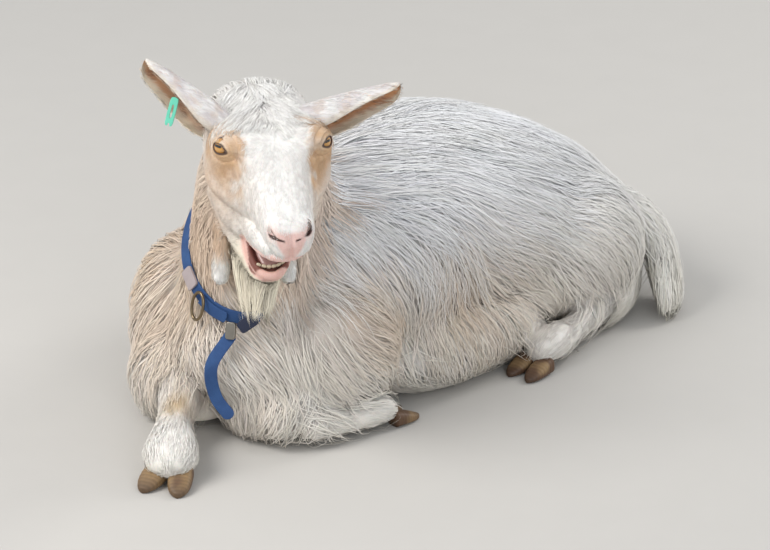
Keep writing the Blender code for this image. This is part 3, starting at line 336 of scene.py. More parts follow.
class Look:
    # A material, with the values that are the same all over it, and the nodes that vary it.

    def __init__(self, name, rough=0.6, metal=0.0, **fixed):
        self.material = bpy.data.materials.new(name)
        self.material.use_nodes = True
        self.tree = self.material.node_tree
        self.shader = self.tree.nodes["Principled BSDF"]
        self.shader.inputs["Roughness"].default_value = rough
        self.shader.inputs["Metallic"].default_value = metal
        for key, value in fixed.items():
            self.shader.inputs[key.replace("_", " ")].default_value = value

    def node(self, kind, settings=None, inputs=None, output=0):
        return addNode(self.tree, kind, settings or {}, inputs or {}, output)

    def attribute(self, name):
        # A named colour of the mesh.
        return self.node("Attribute", {"attribute_name": name}, output="Color")

    def noise(self, scale, detail):
        # Cloudy noise in the object's own space.
        place = self.node("TexCoord", output="Object")
        return self.node("TexNoise", None, {"Vector": place, "Scale": scale, "Detail": detail}, "Fac")

    def mix(self, factor, first, second, blend="MIX"):
        # The first colour blended with the second by the factor.
        first, second = (c if isinstance(c, Sock) else tuple(c) + (1,) for c in (first, second))
        return self.node("Mix", {"data_type": "RGBA", "blend_type": blend}, {0: factor, 6: first, 7: second}, 2)

    def bump(self, height, strength, distance):
        # A height field tilts the light; its distance is in metres.
        values = {"Strength": strength, "Distance": distance, "Height": height}
        return self.feed(Normal=self.node("Bump", None, values))

    def shade(self, cloud, tint):
        # The painted tone, turned toward its product with a tint where the cloud is thick.
        tone = self.attribute("tone")
        return self.feed(Base_Color=self.mix(cloud, tone, self.mix(1.0, tone, tint, "MULTIPLY")))

    def feed(self, **sockets):
        # Links to the shader's sockets, written with _ for a blank.
        for key, value in sockets.items():
            self.tree.links.new(value.out, self.shader.inputs[key.replace("_", " ")])
        return self.material


def dress(obj, material, slot, *nodes):
    # Every finished piece gets its material, rides on the goat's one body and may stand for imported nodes.
    obj.data.materials.clear()
    obj.data.materials.append(material)
    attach(obj, "root")
    if nodes:
        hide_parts(*nodes)
    return obj


print("stage: camera and light")
camera = {
    "place": (338.286, -418.040, 247.352),
    "azimuth": 39.0,
    "elevation": 24.0,
    "lens": 244.2857,
}
stage = {
    "sky": (0.93, 0.96, 1.0, 1),
    "skyLight": 0.66,
    "floor": linear(196, 193, 188),
    "floorHalf": 9.0,
    # Lights in metres: place, target, size, power, colour.
    "key": ((-0.9, -1.9, 2.3), (0, -0.1, 0.2), 1.8, 62.0, (1.0, 0.978, 0.95)),
    "fill": ((2.6, -1.6, 1.3), (0, -0.1, 0.2), 1.8, 20.0, (0.92, 0.96, 1.0)),
    "rim": ((0.9, 2.4, 1.9), (0, 0.0, 0.2), 1.0, 26.0, (1.0, 0.98, 0.95)),
}


def makeCamera():
    # Looks along its azimuth and down by its elevation, with a level horizon.
    az, el = math.radians(camera["azimuth"]), math.radians(camera["elevation"])
    view = np.array([-math.sin(az) * math.cos(el), math.cos(az) * math.cos(el), -math.sin(el)])
    right = np.array([math.cos(az), math.sin(az), 0.0])
    up = np.cross(right, view)
    data = bpy.data.cameras.new("camera")
    data.sensor_width = 36
    data.lens = camera["lens"]
    data.clip_end = 100
    obj = bpy.data.objects.new("camera", data)
    bpy.context.scene.collection.objects.link(obj)
    turn = Matrix((Vector(right), Vector(up), Vector(-view))).transposed()
    obj.matrix_world = Matrix.Translation(Vector(np.array(camera["place"]) * cm + shift)) @ turn.to_4x4()
    bpy.context.scene.camera = obj


def areaLight(name, place, target, size, power, colour):
    # A round soft light that faces its target.
    data = bpy.data.lights.new(name, "AREA")
    data.shape = "DISK"
    data.size = size
    data.energy = power
    data.color = colour
    obj = bpy.data.objects.new(name, data)
    bpy.context.scene.collection.objects.link(obj)
    obj.location = place
    obj.rotation_euler = (Vector(target) - Vector(place)).to_track_quat("-Z", "Y").to_euler()


def makeStage():
    # A plain pale floor under a soft sky and three lights.
    scene = bpy.context.scene
    world = bpy.data.worlds.new("studio")
    scene.world = world
    world.use_nodes = True
    world.node_tree.nodes["Background"].inputs[0].default_value = stage["sky"]
    world.node_tree.nodes["Background"].inputs[1].default_value = stage["skyLight"]
    for name in ("key", "fill", "rim"):
        areaLight(name, *stage[name])
    look = Look("paleFloor", rough=0.9)
    grain = look.noise(18.0, 4.0)
    look.feed(Base_Color=look.mix(grain * 0.5, stage["floor"], stage["floor"] * 0.93))
    mesh = bpy.data.meshes.new("floor")
    s = stage["floorHalf"]
    mesh.from_pydata([(-s, -s, 0), (s, -s, 0), (s, s, 0), (-s, s, 0)], [], [(0, 1, 2, 3)])
    floor = bpy.data.objects.new("floor", mesh)
    scene.collection.objects.link(floor)
    floor.data.materials.append(look.material)
    scene.view_settings.view_transform = "Standard"


makeCamera()
makeStage()

print("stage: head forms")
# The skull from the poll to the lips. Rows: front, half width above, half width of the cheeks, top, bottom.
headRows = np.array([
    (-3.4, 2.6, 2.6, -2.9, -6.0),
    (-2.0, 4.2, 4.2, -0.7, -7.2),
    (0.0, 5.2, 5.2, 1.0, -7.6),
    (2.5, 5.9, 6.0, 1.9, -7.4),
    (5.0, 6.4, 6.6, 3.1, -6.9),
    (7.5, 6.6, 7.0, 4.15, -6.2),
    (9.5, 6.4, 7.0, 4.75, -5.5),
    (11.5, 5.3, 6.5, 4.5, -4.8),
    (13.5, 4.1, 5.2, 3.7, -4.2),
    (15.5, 3.5, 3.5, 3.0, -3.9),
    (17.5, 3.15, 2.85, 2.5, -3.5),
    (19.2, 2.8, 2.5, 1.9, -3.1),
    (20.4, 2.15, 1.95, 1.0, -2.6),
    (21.0, 1.15, 1.2, 0.1, -1.8),
])
# Hills on both sides: place (left, front, up), spread, height.
headBumps = [
    ((5.9, 9.7, 3.4), (1.6, 1.9, 1.5), 0.6),
    ((4.3, 9.0, 5.0), (1.8, 2.0, 1.2), 0.35),
    ((5.6, 13.0, 1.2), (1.8, 2.2, 1.8), -0.35),
    ((0.0, 13.0, 3.9), (1.6, 3.0, 1.2), -0.25),
    ((1.9, 20.0, 1.0), (1.0, 1.0, 0.9), 0.3),
]
# The lower jaw, let down and a little to the right. Rows: front, left, half width, top, bottom.
jawRows = np.array([
    (2.0, 0.0, 4.3, -4.5, -8.2),
    (5.0, -0.1, 5.4, -4.6, -9.1),
    (8.0, -0.3, 5.7, -4.8, -9.6),
    (11.0, -0.6, 4.9, -5.2, -9.8),
    (13.5, -0.8, 3.8, -6.2, -9.8),
    (15.5, -0.95, 2.9, -7.1, -9.8),
    (17.2, -1.0, 2.3, -7.5, -9.6),
    (18.2, -1.0, 1.8, -7.75, -9.3),
    (18.8, -1.0, 1.1, -7.95, -9.0),
])
muzzleTurn = 0.5  # the nose stands a little to the goat's left


def headRings(grow, count=150, steps=120):
    # Superellipse sections along the head, squarer at the brow, pushed out by the hills.
    t = np.linspace(0, 1, steps) ** 0.96
    rows = spline(headRows, t)
    ang = np.linspace(0, 2 * math.pi, count, endpoint=False) + math.pi / 2
    ca, sa = np.cos(ang), np.sin(ang)
    mid = (rows[:, 3] * 0.45 + rows[:, 4] * 0.55)[:, None]
    blend = 0.5 + 0.5 * np.tanh(sa * 3)
    wide = rows[:, 1][:, None] * blend + rows[:, 2][:, None] * (1 - blend)
    ex = 2 / (2.25 + 0.9 * np.exp(-((rows[:, :1] - 8.5) / 3.5) ** 2))
    x = signedPower(ca, ex) * wide
    z = mid + np.where(sa > 0, rows[:, 3][:, None] - mid, mid - rows[:, 4][:, None]) * signedPower(sa, ex)
    pts = np.stack([x, np.repeat(rows[:, :1], count, 1), z], -1)
    core = np.stack([np.zeros(steps), rows[:, 0], rows[:, 3] * 0.4 + rows[:, 4] * 0.6], -1)[:, None]
    out = unit(pts - core)
    side = np.sign(pts[..., :1])
    for place, size, height in headBumps:
        mirrored = np.concatenate([side * place[0], side * 0 + place[1], side * 0 + place[2]], -1)
        pts = pts + out * (height * bell(pts, mirrored, size))[..., None]
    pts = pts + out * grow
    pts[..., 0] += muzzleTurn * smooth(pts[..., 1], 11, 20)
    return onHead(pts)


def jawRings(grow, count=90, steps=80):
    # Superellipse sections of one power along the jaw.
    rows = spline(jawRows, np.linspace(0, 1, steps))
    ang = np.linspace(0, 2 * math.pi, count, endpoint=False)
    ex = 2 / 2.4
    cx, cz = signedPower(np.cos(ang), ex), signedPower(np.sin(ang), ex)
    mid = 0.5 * (rows[:, 3] + rows[:, 4])
    high = 0.5 * (rows[:, 3] - rows[:, 4]) + grow
    x = rows[:, 1][:, None] + (rows[:, 2] + grow)[:, None] * cx
    z = mid[:, None] + high[:, None] * cz
    return onHead(np.stack([x, np.repeat(rows[:, :1], count, 1), z], -1))


# Rims and folds round the open mouth: rows of left, front, up, half width, half height.
lips = {
    "upper": [(-3.1, 14.2, -6.1, 0.3, 0.35), (-2.85, 15.4, -5.5, 0.33, 0.38), (-2.55, 17.0, -4.5, 0.36, 0.42),
              (-2.15, 18.6, -3.5, 0.4, 0.45), (-1.55, 19.8, -2.8, 0.42, 0.48), (-0.8, 20.35, -2.5, 0.4, 0.48),
              (0.1, 20.55, -2.35, 0.38, 0.5), (0.65, 20.55, -2.35, 0.36, 0.48), (1.5, 20.1, -2.4, 0.4, 0.48),
              (2.3, 19.3, -2.6, 0.4, 0.45), (2.75, 18.1, -3.0, 0.36, 0.42), (3.0, 16.6, -3.8, 0.33, 0.4),
              (3.1, 15.2, -4.9, 0.3, 0.35), (2.9, 14.2, -5.8, 0.3, 0.35)],
    "lower": [(-2.95, 14.1, -6.3, 0.3, 0.35), (-2.85, 15.0, -7.05, 0.36, 0.4), (-2.7, 16.1, -7.45, 0.4, 0.45),
              (-2.4, 17.3, -7.65, 0.43, 0.48), (-1.9, 18.1, -7.8, 0.44, 0.5), (-1.25, 18.55, -7.9, 0.45, 0.5),
              (-0.45, 18.6, -7.88, 0.44, 0.5), (0.2, 18.3, -7.75, 0.42, 0.48), (0.8, 17.6, -7.6, 0.4, 0.45),
              (1.4, 16.3, -7.2, 0.36, 0.4), (2.2, 14.6, -6.3, 0.3, 0.35)],
}
folds = {
    "cheekRight": [(-5.0, 8.5, -5.2, 1.3, 2.2), (-4.3, 11.5, -5.6, 1.1, 2.0), (-3.4, 13.7, -5.9, 0.6, 1.1)],
    "cheekLeft": [(5.0, 8.5, -5.2, 1.3, 2.2), (4.3, 11.5, -5.6, 1.1, 2.0), (3.2, 13.7, -5.8, 0.6, 1.1)],
    "flewRight": [(-3.4, 13.4, -5.0, 0.6, 1.1), (-3.0, 15.0, -4.5, 0.5, 1.0), (-2.7, 16.6, -3.8, 0.45, 0.9),
                  (-2.3, 18.2, -3.0, 0.4, 0.7)],
    "flewLeft": [(3.5, 13.4, -4.8, 0.6, 1.1), (3.2, 15.0, -4.2, 0.5, 1.0), (3.0, 16.6, -3.4, 0.45, 0.9),
                 (2.8, 18.2, -2.7, 0.4, 0.6)],
    "wallRight": [(-4.0, 9.5, -4.2, 1.2, 1.8), (-3.4, 12.0, -4.0, 0.9, 1.5), (-2.95, 14.2, -3.8, 0.75, 1.3),
                  (-2.7, 16.2, -3.2, 0.65, 1.15), (-2.3, 18.0, -2.6, 0.6, 1.0), (-1.7, 19.5, -2.15, 0.55, 0.8)],
    "wallLeft": [(4.2, 9.5, -4.2, 1.2, 1.8), (3.6, 12.0, -4.0, 0.9, 1.5), (3.25, 14.2, -3.6, 0.75, 1.3),
                 (3.1, 16.2, -3.0, 0.65, 1.1), (2.85, 18.0, -2.4, 0.55, 0.9), (2.3, 19.5, -2.0, 0.5, 0.75)],
}


def mouthRings(table):
    # A round cord of changing width along a rim or fold.
    rows = np.array(table, float)
    rows[:, :3] = onHead(rows[:, :3])
    return tubeRings(rows, 20, 90, ref=headAxes[2], ends=(0.8, 0.8))


# Small hills and hollows of the face: place (left, front, up), spread, height.
faceForms = [
    ((-1.75, 19.4, 1.75), (0.7, 0.6, 0.3), 0.2),
    ((2.35, 19.3, 1.6), (0.7, 0.6, 0.3), 0.2),
    ((-2.3, 19.2, 0.8), (0.3, 0.6, 0.6), 0.16),
    ((2.8, 19.1, 0.7), (0.3, 0.6, 0.6), 0.16),
    ((0.5, 21.0, -1.0), (0.12, 0.8, 1.2), -0.24),
    ((-0.6, 20.6, -1.3), (0.7, 0.8, 0.7), 0.12),
    ((1.6, 20.5, -1.3), (0.7, 0.8, 0.7), 0.12),
    ((0.4, 20.8, 0.9), (0.5, 0.5, 0.35), -0.1),
    ((-4.3, 11.3, 3.6), (0.45, 1.4, 0.35), -0.2),
    ((4.3, 11.3, 3.6), (0.45, 1.4, 0.35), -0.2),
    ((0.2, 17.5, 2.6), (1.3, 2.4, 0.7), 0.1),
]
# Grooves of the face: a line of left, front, up; its width and depth.
creases = [
    ([(-5.1, 9.7, 2.65), (-4.6, 10.6, 3.0), (-4.0, 11.5, 3.3)], 0.28, 0.22),
    ([(5.1, 9.8, 2.6), (4.7, 10.7, 2.9), (4.2, 11.6, 3.2)], 0.28, 0.22),
]


def creaseDepth(h, line, width):
    # 1 on the line, falling to 0 over its width.
    rows = spline(np.array(line), np.linspace(0, 1, 40))
    near = np.full(len(h), 9.0)
    close = np.linalg.norm(h - rows.mean(0), axis=1) < 3
    near[close] = np.sqrt(((h[close][:, None] - rows[None]) ** 2).sum(-1).min(1))
    return np.exp(-(near / width) ** 2)


nostril = {
    # Along the comma: offset from the midline, front, up, half width, half depth.
    "midline": 0.3,
    "rows": [(2.1, 19.2, 1.55, 0.1, 0.15), (2.2, 19.5, 1.2, 0.26, 0.26), (1.95, 19.85, 0.82, 0.27, 0.28),
             (1.45, 20.2, 0.66, 0.13, 0.2), (0.95, 20.5, 0.6, 0.06, 0.14), (0.6, 20.7, 0.56, 0.04, 0.1)],
    "deeper": 0.5,
}


def nostrilRings(side):
    # A comma: wide and open at the wing of the nose, drawn out to a slit under the pad.
    rows = np.array(nostril["rows"])
    rows[:, 0] = nostril["midline"] + side * rows[:, 0]
    deep = rows.copy()
    rows[:, :3] = onHead(rows[:, :3])
    deep[:, 1] -= nostril["deeper"]
    deep[:, :3] = onHead(deep[:, :3])
    outer = tubeRings(rows, 18, 50, ref=headAxes[1], ends=(0.6, 0.6))
    inner = tubeRings(deep, 18, 50, ref=headAxes[1], ends=(0.5, 0.5))
    return outer, inner


eyes = {
    "out": {-1: (-0.74, 0.47, 0.48), 1: (0.74, 0.47, 0.48)},
    "along": {-1: (0.635, 0.723, 0.272), 1: (-0.663, 0.629, 0.406)},  # toward the tear duct
    "centre": {-1: goat["eyeRight"], 1: goat["eyeLeft"]},
    "drop": {-1: 0.0, 1: 0.28},       # the left eye stands a little lower
    "open": (0.76, 0.45, 0.50),       # half length, height above and below the middle
    "ring": (2.0, 1.55),              # where the lids run out on the face
    "iris": 0.92,
    "pupil": (0.50, 0.14),
}


def eyeAxes(side):
    # Along the lids toward the tear duct, across them, and out of the socket, as rows.
    out = unit(eyes["out"][side])
    along = np.array(eyes["along"][side])
    along = unit(along - out * (along @ out))
    high = np.cross(out, along)
    high = high * np.sign(high[2])
    return np.stack([along, high, out]) @ headAxes


eyeCentres = {s: np.array(eyes["centre"][s]) - eyes["drop"][s] * headAxes[2] for s in (-1, 1)}


def makeHeadMesh():
    # Skull, jaw, rims and folds in one skin, with sockets for the eyes; the nostrils are cut out of it.
    depth = -goat["headDepth"]
    parts = [closedRings("head", headRings(depth)), closedRings("jaw", jawRings(depth))]
    parts += [closedRings("rim", mouthRings(rows)) for rows in list(lips.values()) + list(folds.values())]
    head = voxelJoin("headSkin", parts, goat["headVoxel"], 3)
    p = readVerts(head)
    n = readNormals(head)
    h = inHead(p)
    lift = np.zeros(len(p))
    for place, size, height in faceForms:
        lift += height * bell(h, place, size)
    for line, width, depth in creases:
        lift -= depth * creaseDepth(h, line, width)
    for side in (-1, 1):
        axes = eyeAxes(side)
        local = (p - eyeCentres[side]) @ axes.T
        near = np.exp(-((local[:, 0] / 1.5) ** 2 + (local[:, 1] / 1.1) ** 2) ** 1.5) * (local[:, 2] > 0)
        lift -= 1.2 * near
        fold = np.exp(-((np.hypot(local[:, 0] / 2.1, local[:, 1] / 1.7) - 1) / 0.25) ** 2) * (local[:, 2] > 0)
        lift += fold * np.where(local[:, 1] > 0, 0.22, 0.06)
    writeVerts(head, p + n * lift[:, None])
    cutters = []
    for side in (-1, 1):
        cutters += [closedRings("nostril", rings) for rings in nostrilRings(side)]
    return combine(head, cutters, "DIFFERENCE")


ears = {
    "width": 4.6,
    "wall": 0.24,
    "tip": {-1: (-5.7, -33.6, 43.0), 1: (14.7, -15.9, 39.9)},
    "face": {-1: (0.30, -0.60, -0.72), 1: (0.55, -0.52, -0.80)},
    "drop": {-1: 0.3, 1: 0.3},
    "leaf": [0.8, 0.95, 1.02, 1.0, 0.94, 0.86, 0.78, 0.7],   # half width along the ear, before the round tip
    "bend": (150, 80),                # degrees of the arc to each side, at the root and at the tip
    "rows": 90,
    "points": 61,
}


def earBase(side):
    # Root and tip of an ear, the way along it and the way its cup faces.
    base = onHead((side * 3.7, 3.7, 1.0 if side < 0 else 1.2))
    tip = np.array(ears["tip"][side])
    axis = unit(tip - base)
    face = unit(ears["face"][side])
    face = unit(face - axis * (face @ axis))
    return base, tip, axis, face


def earArc(side, t):
    # Middle, radius and half angle of the bent leaf at t along the line from root to tip.
    base, tip, axis, face = earBase(side)
    length = np.linalg.norm(tip - base)
    blunt = np.sqrt(1 - np.clip((t - 0.86) / 0.142, 0, 1) ** 2)
    half = 0.5 * ears["width"] * spline(np.array(ears["leaf"])[:, None], t)[:, 0] * blunt + 0.05
    bend = np.radians(ears["bend"][0] + (ears["bend"][1] - ears["bend"][0]) * t)
    mid = base + axis * (t * length)[:, None] - face * (0.5 * np.sin(math.pi * t))[:, None]
    mid = mid - np.array([0, 0, 1.0]) * (ears["drop"][side] * np.sin(math.pi * t))[:, None]
    return mid, half / np.sin(np.minimum(bend, math.pi / 2)), bend


def earRings(side):
    # A leaf bent into a cup: the arc r(t) (sin phi, 1 - cos phi), phi = s bend(t).
    base, tip, axis, face = earBase(side)
    across = np.cross(axis, face)
    t = np.sin(np.linspace(0, math.pi / 2, ears["rows"])) * 0.999
    mid, radius, bend = earArc(side, t)
    s = np.linspace(-1, 1, ears["points"])
    phi = s[None] * bend[:, None]
    wall = ears["wall"] * (1 - 0.4 * t)[:, None] * (1 - 0.5 * s[None] ** 4)
    ripple = 0.06 * np.sin(8 * t[:, None] + 3 * s[None]) * np.abs(s[None]) ** 3

    def sheet(off):
        # The arc on one face of the wall.
        r = radius[:, None] + off + ripple
        return mid[:, None] + across * (np.sin(phi) * r)[..., None] + face * (
            radius[:, None] * 0.85 - np.cos(phi) * r * 0.85)[..., None]

    return np.concatenate([sheet(wall * 0.5), sheet(-wall * 0.5)[:, ::-1]], 1)


def earSpot(side, p):
    # For places on an ear: how far along it, how far inside its cup (0 or 1), and the place across from -1 to 1.
    base, tip, axis, face = earBase(side)
    t = np.clip(((p - base) @ axis) / np.linalg.norm(tip - base), 0, 1)
    mid, radius, bend = earArc(side, t)
    rel = p - mid
    v, w = rel @ np.cross(axis, face), radius - (rel @ face) / 0.85
    inner = smooth(radius - np.hypot(v, w), -0.03, 0.05)
    return t, inner, np.arctan2(v, w) / bend


wattles = {-1: ((2.5, -30.9, 23.9), (3.2, -32.3, 19.3)), 1: ((6.6, -25.9, 23.8), (8.3, -26.9, 18.9))}  # top, tip
wattleSwell = ((-0.25, 1.0), (0, 0.9), (0.3, 0.8), (0.65, 0.86), (0.92, 0.74))  # place along it, half width


def wattleRings(side):
    # A hanging tassel, a little fuller near its tip.
    top, low = (np.array(p) for p in wattles[side])
    rows = [tuple(top + (low - top) * t) + (a, a * 0.9) for t, a in wattleSwell]
    return tubeRings(rows, 20, 26, ref=(0.63, -0.77, 0), ends=(0.8, 0.9))


print("stage: body forms")
# Rows of tubes: x, y, z, half width, half height. Balls: centre, half sizes, turn.
neckRows = [
    (2.2, -25.2, 8.0, 7.2, 6.2), (1.3, -25.5, 13.0, 6.7, 6.2), (1.0, -25.4, 18.0, 6.5, 6.3),
    (0.9, -25.2, 22.5, 6.4, 6.3), (1.2, -24.9, 27.0, 6.2, 6.2), (1.6, -24.2, 31.0, 5.9, 6.1),
    (1.3, -23.7, 33.6, 5.4, 5.7), (1.0, -23.3, 35.2, 4.0, 4.2),
]
napeRows = [(0.2, -12.0, 20.0, 7.5, 6.0), (0.2, -17.0, 22.0, 7.0, 6.0), (0.8, -21.5, 24.8, 6.0, 5.6)]
trunkRows = [
    (2.0, -29.6, 7.0, 8.4, 6.6), (0.8, -25.0, 9.4, 11.2, 9.2), (-0.4, -18.0, 12.2, 13.8, 13.0),
    (-1.0, -10.0, 13.2, 16.0, 14.6), (-0.6, -1.0, 13.0, 17.0, 14.7), (0.4, 8.0, 12.2, 17.0, 14.2),
    (2.2, 16.0, 10.8, 16.0, 12.6), (4.6, 23.0, 8.6, 13.4, 10.4), (7.0, 28.0, 6.6, 9.2, 7.6),
]
bodyBalls = [
    ((-8.2, -24.8, 9.6), (6.7, 8.6, 10.4), 0.25), ((-4.2, -21.0, 18.0), (6.3, 7.0, 7.3), 0.2),
    ((9.6, -20.5, 8.8), (6.2, 8.6, 9.0), -0.2), ((-4.6, -29.0, 4.6), (7.6, 6.6, 7.6), 0.1),
    ((5.0, -26.6, 5.0), (6.4, 6.0, 8.0), 0.3), ((11.8, 17.5, 8.6), (8.4, 11.0, 9.4), -0.2),
    ((-6.6, 19.0, 8.4), (8.0, 11.0, 9.2), -0.3), ((4.6, 21.0, 10.4), (10.0, 10.0, 9.4), -0.3),
    ((10.0, 0.0, 5.0), (8.2, 17.0, 6.4), -0.05), ((-11.0, -2.0, 5.0), (8.0, 17.0, 6.4), 0.05),
    ((3.4, -28.4, 8.6), (5.6, 3.8, 6.4), 0.2),
]
tailRows = [
    (9.0, 24.6, 11.2, 2.4, 2.2), (12.8, 27.6, 10.4, 3.2, 2.4), (15.8, 28.6, 7.8, 3.8, 2.2),
    (18.8, 27.4, 4.4, 3.9, 1.9), (21.0, 25.0, 2.0, 2.9, 1.5), (22.2, 23.0, 1.0, 1.0, 0.9),
]
legRows = {
    "foreRight": [(-6.2, -26.0, 6.6, 3.6, 3.4), (-4.0, -29.8, 6.0, 3.1, 3.0), (-1.2, -34.0, 4.7, 2.5, 2.6),
                  (0.7, -37.2, 3.5, 2.05, 2.1), (2.9, -40.0, 3.0, 2.7, 2.5), (4.4, -42.2, 2.6, 3.2, 2.3),
                  (5.1, -43.5, 2.3, 2.7, 1.8)],
    "foreLeft": [(9.4, -20.0, 5.2, 3.2, 3.2), (9.0, -25.0, 4.2, 3.0, 3.0), (8.0, -28.8, 3.0, 2.5, 2.6)],
    "footLeft": [(10.9, -26.6, 2.1, 2.0, 1.9), (12.6, -22.6, 1.9, 1.8, 1.7), (13.4, -19.0, 2.0, 2.2, 1.8),
                 (13.7, -17.2, 1.9, 1.9, 1.5)],
    "hindLeft": [(13.8, 24.2, 3.6, 2.8, 3.0), (15.7, 20.6, 3.2, 2.6, 2.8), (17.2, 15.6, 2.6, 1.8, 1.95),
                 (18.0, 10.4, 2.3, 1.75, 1.8), (18.2, 7.0, 2.4, 2.5, 2.2), (18.2, 4.6, 2.1, 2.1, 1.7)],
    "hindRight": [(-11.6, 24.6, 3.9, 3.0, 3.3), (-13.9, 20.6, 3.3, 2.7, 2.9), (-15.8, 15.0, 2.6, 1.8, 1.95),
                  (-16.8, 9.4, 2.3, 1.75, 1.8), (-17.0, 6.0, 2.4, 2.5, 2.2), (-17.2, 3.6, 2.1, 2.1, 1.7)],
}


def makeBodyMesh():
    # Tubes and balls of the trunk, neck, tail and legs in one skin, pressed flat where they lie on the floor.
    trunk = -goat["trunkDepth"]
    parts = [closedRings("barrel", tubeRings(trunkRows, 60, 60, 2.08, ends=(0.5, 0.55), grow=trunk - 0.7))]
    parts.append(closedRings("neck", tubeRings(neckRows, 40, 40, ref=(0, -1, 0.1), grow=-goat["neckDepth"])))
    parts.append(closedRings("nape", tubeRings(napeRows, 36, 24, ends=(0.5, 0.5), grow=trunk)))
    for centre, radii, yaw in bodyBalls:
        parts.append(closedRings("mass", ballRings(centre, np.array(radii) + trunk - 0.5, yaw)))
    parts.append(closedRings("tail", tubeRings(tailRows, 28, 40, ref=(0.35, 0.75, 0.55), grow=-0.9)))
    for rows in legRows.values():
        parts.append(closedRings("leg", tubeRings(rows, 28, 40, 2.15, ends=(0.6, 0.7), grow=-goat["legDepth"])))
    body = voxelJoin("bodySkin", parts, goat["bodyVoxel"], 5)
    p = readVerts(body)
    p[:, 2] = np.where(p[:, 2] < 1.2, 0.25 + (p[:, 2].clip(-2, 1.2) + 2) / 3.2 * 0.95, p[:, 2])
    writeVerts(body, p)
    return body


head = makeHeadMesh()
body = makeBodyMesh()
earObjects = {side: closedRings("ear", earRings(side)) for side in (-1, 1)}
wattleObjects = {side: closedRings("wattle", wattleRings(side)) for side in (-1, 1)}

labelNames = ("trunk", "neck", "head", "earRight", "earLeft", "wattle", "tail", "leg")
labelOf = {name: k for k, name in enumerate(labelNames)}
earNames = {-1: "earRight", 1: "earLeft"}
# Lines through the forms and their half widths, which tell whose skin is whose.
bones = {
    "trunk": ((-0.4, -22, 11), (4, 26, 9), 13.0),
    "neck": ((1.2, -25.2, 20.5), (1.8, -24.6, 33), 6.2),
    "tail": ((13.5, 28.0, 10), (22, 23.5, 1), 3.0),
}
legBones = [((-2.6, -31.6, 5.4), (4.8, -43, 2.5), 2.6), ((8.6, -26, 3.6), (8, -29.5, 3), 2.8),
            ((10.9, -26.6, 2.1), (13.7, -16.2, 1.9), 2.1), ((16.0, 20.0, 3.0), (18.2, 3.6, 2.2), 2.4),
            ((-14.2, 19.5, 3.0), (-17.2, 2.6, 2.2), 2.4)]


def toBone(points, first, last):
    # Distance to the line from first to last, and the place along it.
    a, b = np.array(first, float), np.array(last, float)
    t = np.clip(((points - a) @ (b - a)) / ((b - a) @ (b - a)), 0, 1)
    return np.linalg.norm(points - (a + t[:, None] * (b - a)), axis=1), t


def bodyLabels(points):
    # The form whose line is nearest, measured in its own half widths.
    near = [toBone(points, a, b)[0] / r for a, b, r in (bones[k] for k in ("trunk", "neck", "tail"))]
    near.append(np.min([toBone(points, a, b)[0] / r for a, b, r in legBones], axis=0))
    return np.array([labelOf[k] for k in ("trunk", "neck", "tail", "leg")])[np.argmin(near, axis=0)]


def labelTree():
    # The forms' points before they join, with the form that each belongs to.
    places, labels = [], []
    for obj, label in ((head, "head"), (earObjects[-1], "earRight"), (earObjects[1], "earLeft"),
                       (wattleObjects[-1], "wattle"), (wattleObjects[1], "wattle")):
        p = readVerts(obj)
        places.append(p)
        labels.append(np.full(len(p), labelOf[label]))
    p = readVerts(body)
    places.append(p)
    labels.append(bodyLabels(p))
    places, labels = np.concatenate(places), np.concatenate(labels)
    tree = KDTree(len(places))
    for k, place in enumerate(places):
        tree.insert(place, k)
    tree.balance()
    return tree, labels


tree, sourceLabels = labelTree()
skin = combine(head, [body] + list(earObjects.values()) + list(wattleObjects.values()), "UNION")
skin.name = "goatSkin"


def keepLargest(obj):
    # Crumbs that the joining leaves are thrown away.
    bm = bmesh.new()
    bm.from_mesh(obj.data)
    bmesh.ops.triangulate(bm, faces=bm.faces)
    seen, best = set(), []
    for face in bm.faces:
        if face in seen:
            continue
        stack, part = [face], []
        seen.add(face)
        while stack:
            now = stack.pop()
            part.append(now)
            for edge in now.edges:
                for other in edge.link_faces:
                    if other not in seen:
                        seen.add(other)
                        stack.append(other)
        if len(part) > len(best):
            best = part
    wanted = set(best)
    bmesh.ops.delete(bm, geom=[f for f in bm.faces if f not in wanted], context="FACES")
    bm.to_mesh(obj.data)
    bm.free()


keepLargest(skin)
skin.data.shade_smooth()
skinPoints = readVerts(skin)
skinLabels = sourceLabels[np.array([tree.find(p)[1] for p in skinPoints])]
edges = np.zeros(len(skin.data.edges) * 2, np.int32)
skin.data.edges.foreach_get("vertices", edges)
edges = edges.reshape(-1, 2)


def spread(values, rounds, keep=0.5):
    # Each value moves toward the mean of its neighbours on the skin.
    total = np.bincount(edges.ravel(), minlength=len(skinPoints)).astype(float)[:, None]
    flat = values.reshape(len(skinPoints), -1).astype(float)
    for _ in range(rounds):
        near = np.zeros_like(flat)
        for k in range(flat.shape[1]):
            near[:, k] = (np.bincount(edges[:, 0], flat[edges[:, 1], k], len(skinPoints))
                          + np.bincount(edges[:, 1], flat[edges[:, 0], k], len(skinPoints)))
        flat = keep * flat + (1 - keep) * near / np.maximum(total, 1)
    return flat.reshape(values.shape)


def softenJoins():
    # The crease where the head and the neck meet is worn away.
    isHead = (skinLabels == labelOf["head"]).astype(float)
    isBody = np.isin(skinLabels, (labelOf["trunk"], labelOf["neck"])).astype(float)
    both = spread(isHead, 14) * spread(isBody, 14)
    weight = smooth(both, 0.01, 0.12)[:, None]
    p = readVerts(skin)
    for _ in range(6):
        p = p + (spread(p, 1, 0.0) - p) * weight * 0.6
    writeVerts(skin, p)


softenJoins()
skinPoints = readVerts(skin)
skinNormals = readNormals(skin)
skinTree = BVHTree.FromObject(skin, bpy.context.evaluated_depsgraph_get())
print("skin", len(skinPoints), "points", len(skin.data.polygons), "faces")

print("stage: lie and colour of the coat")


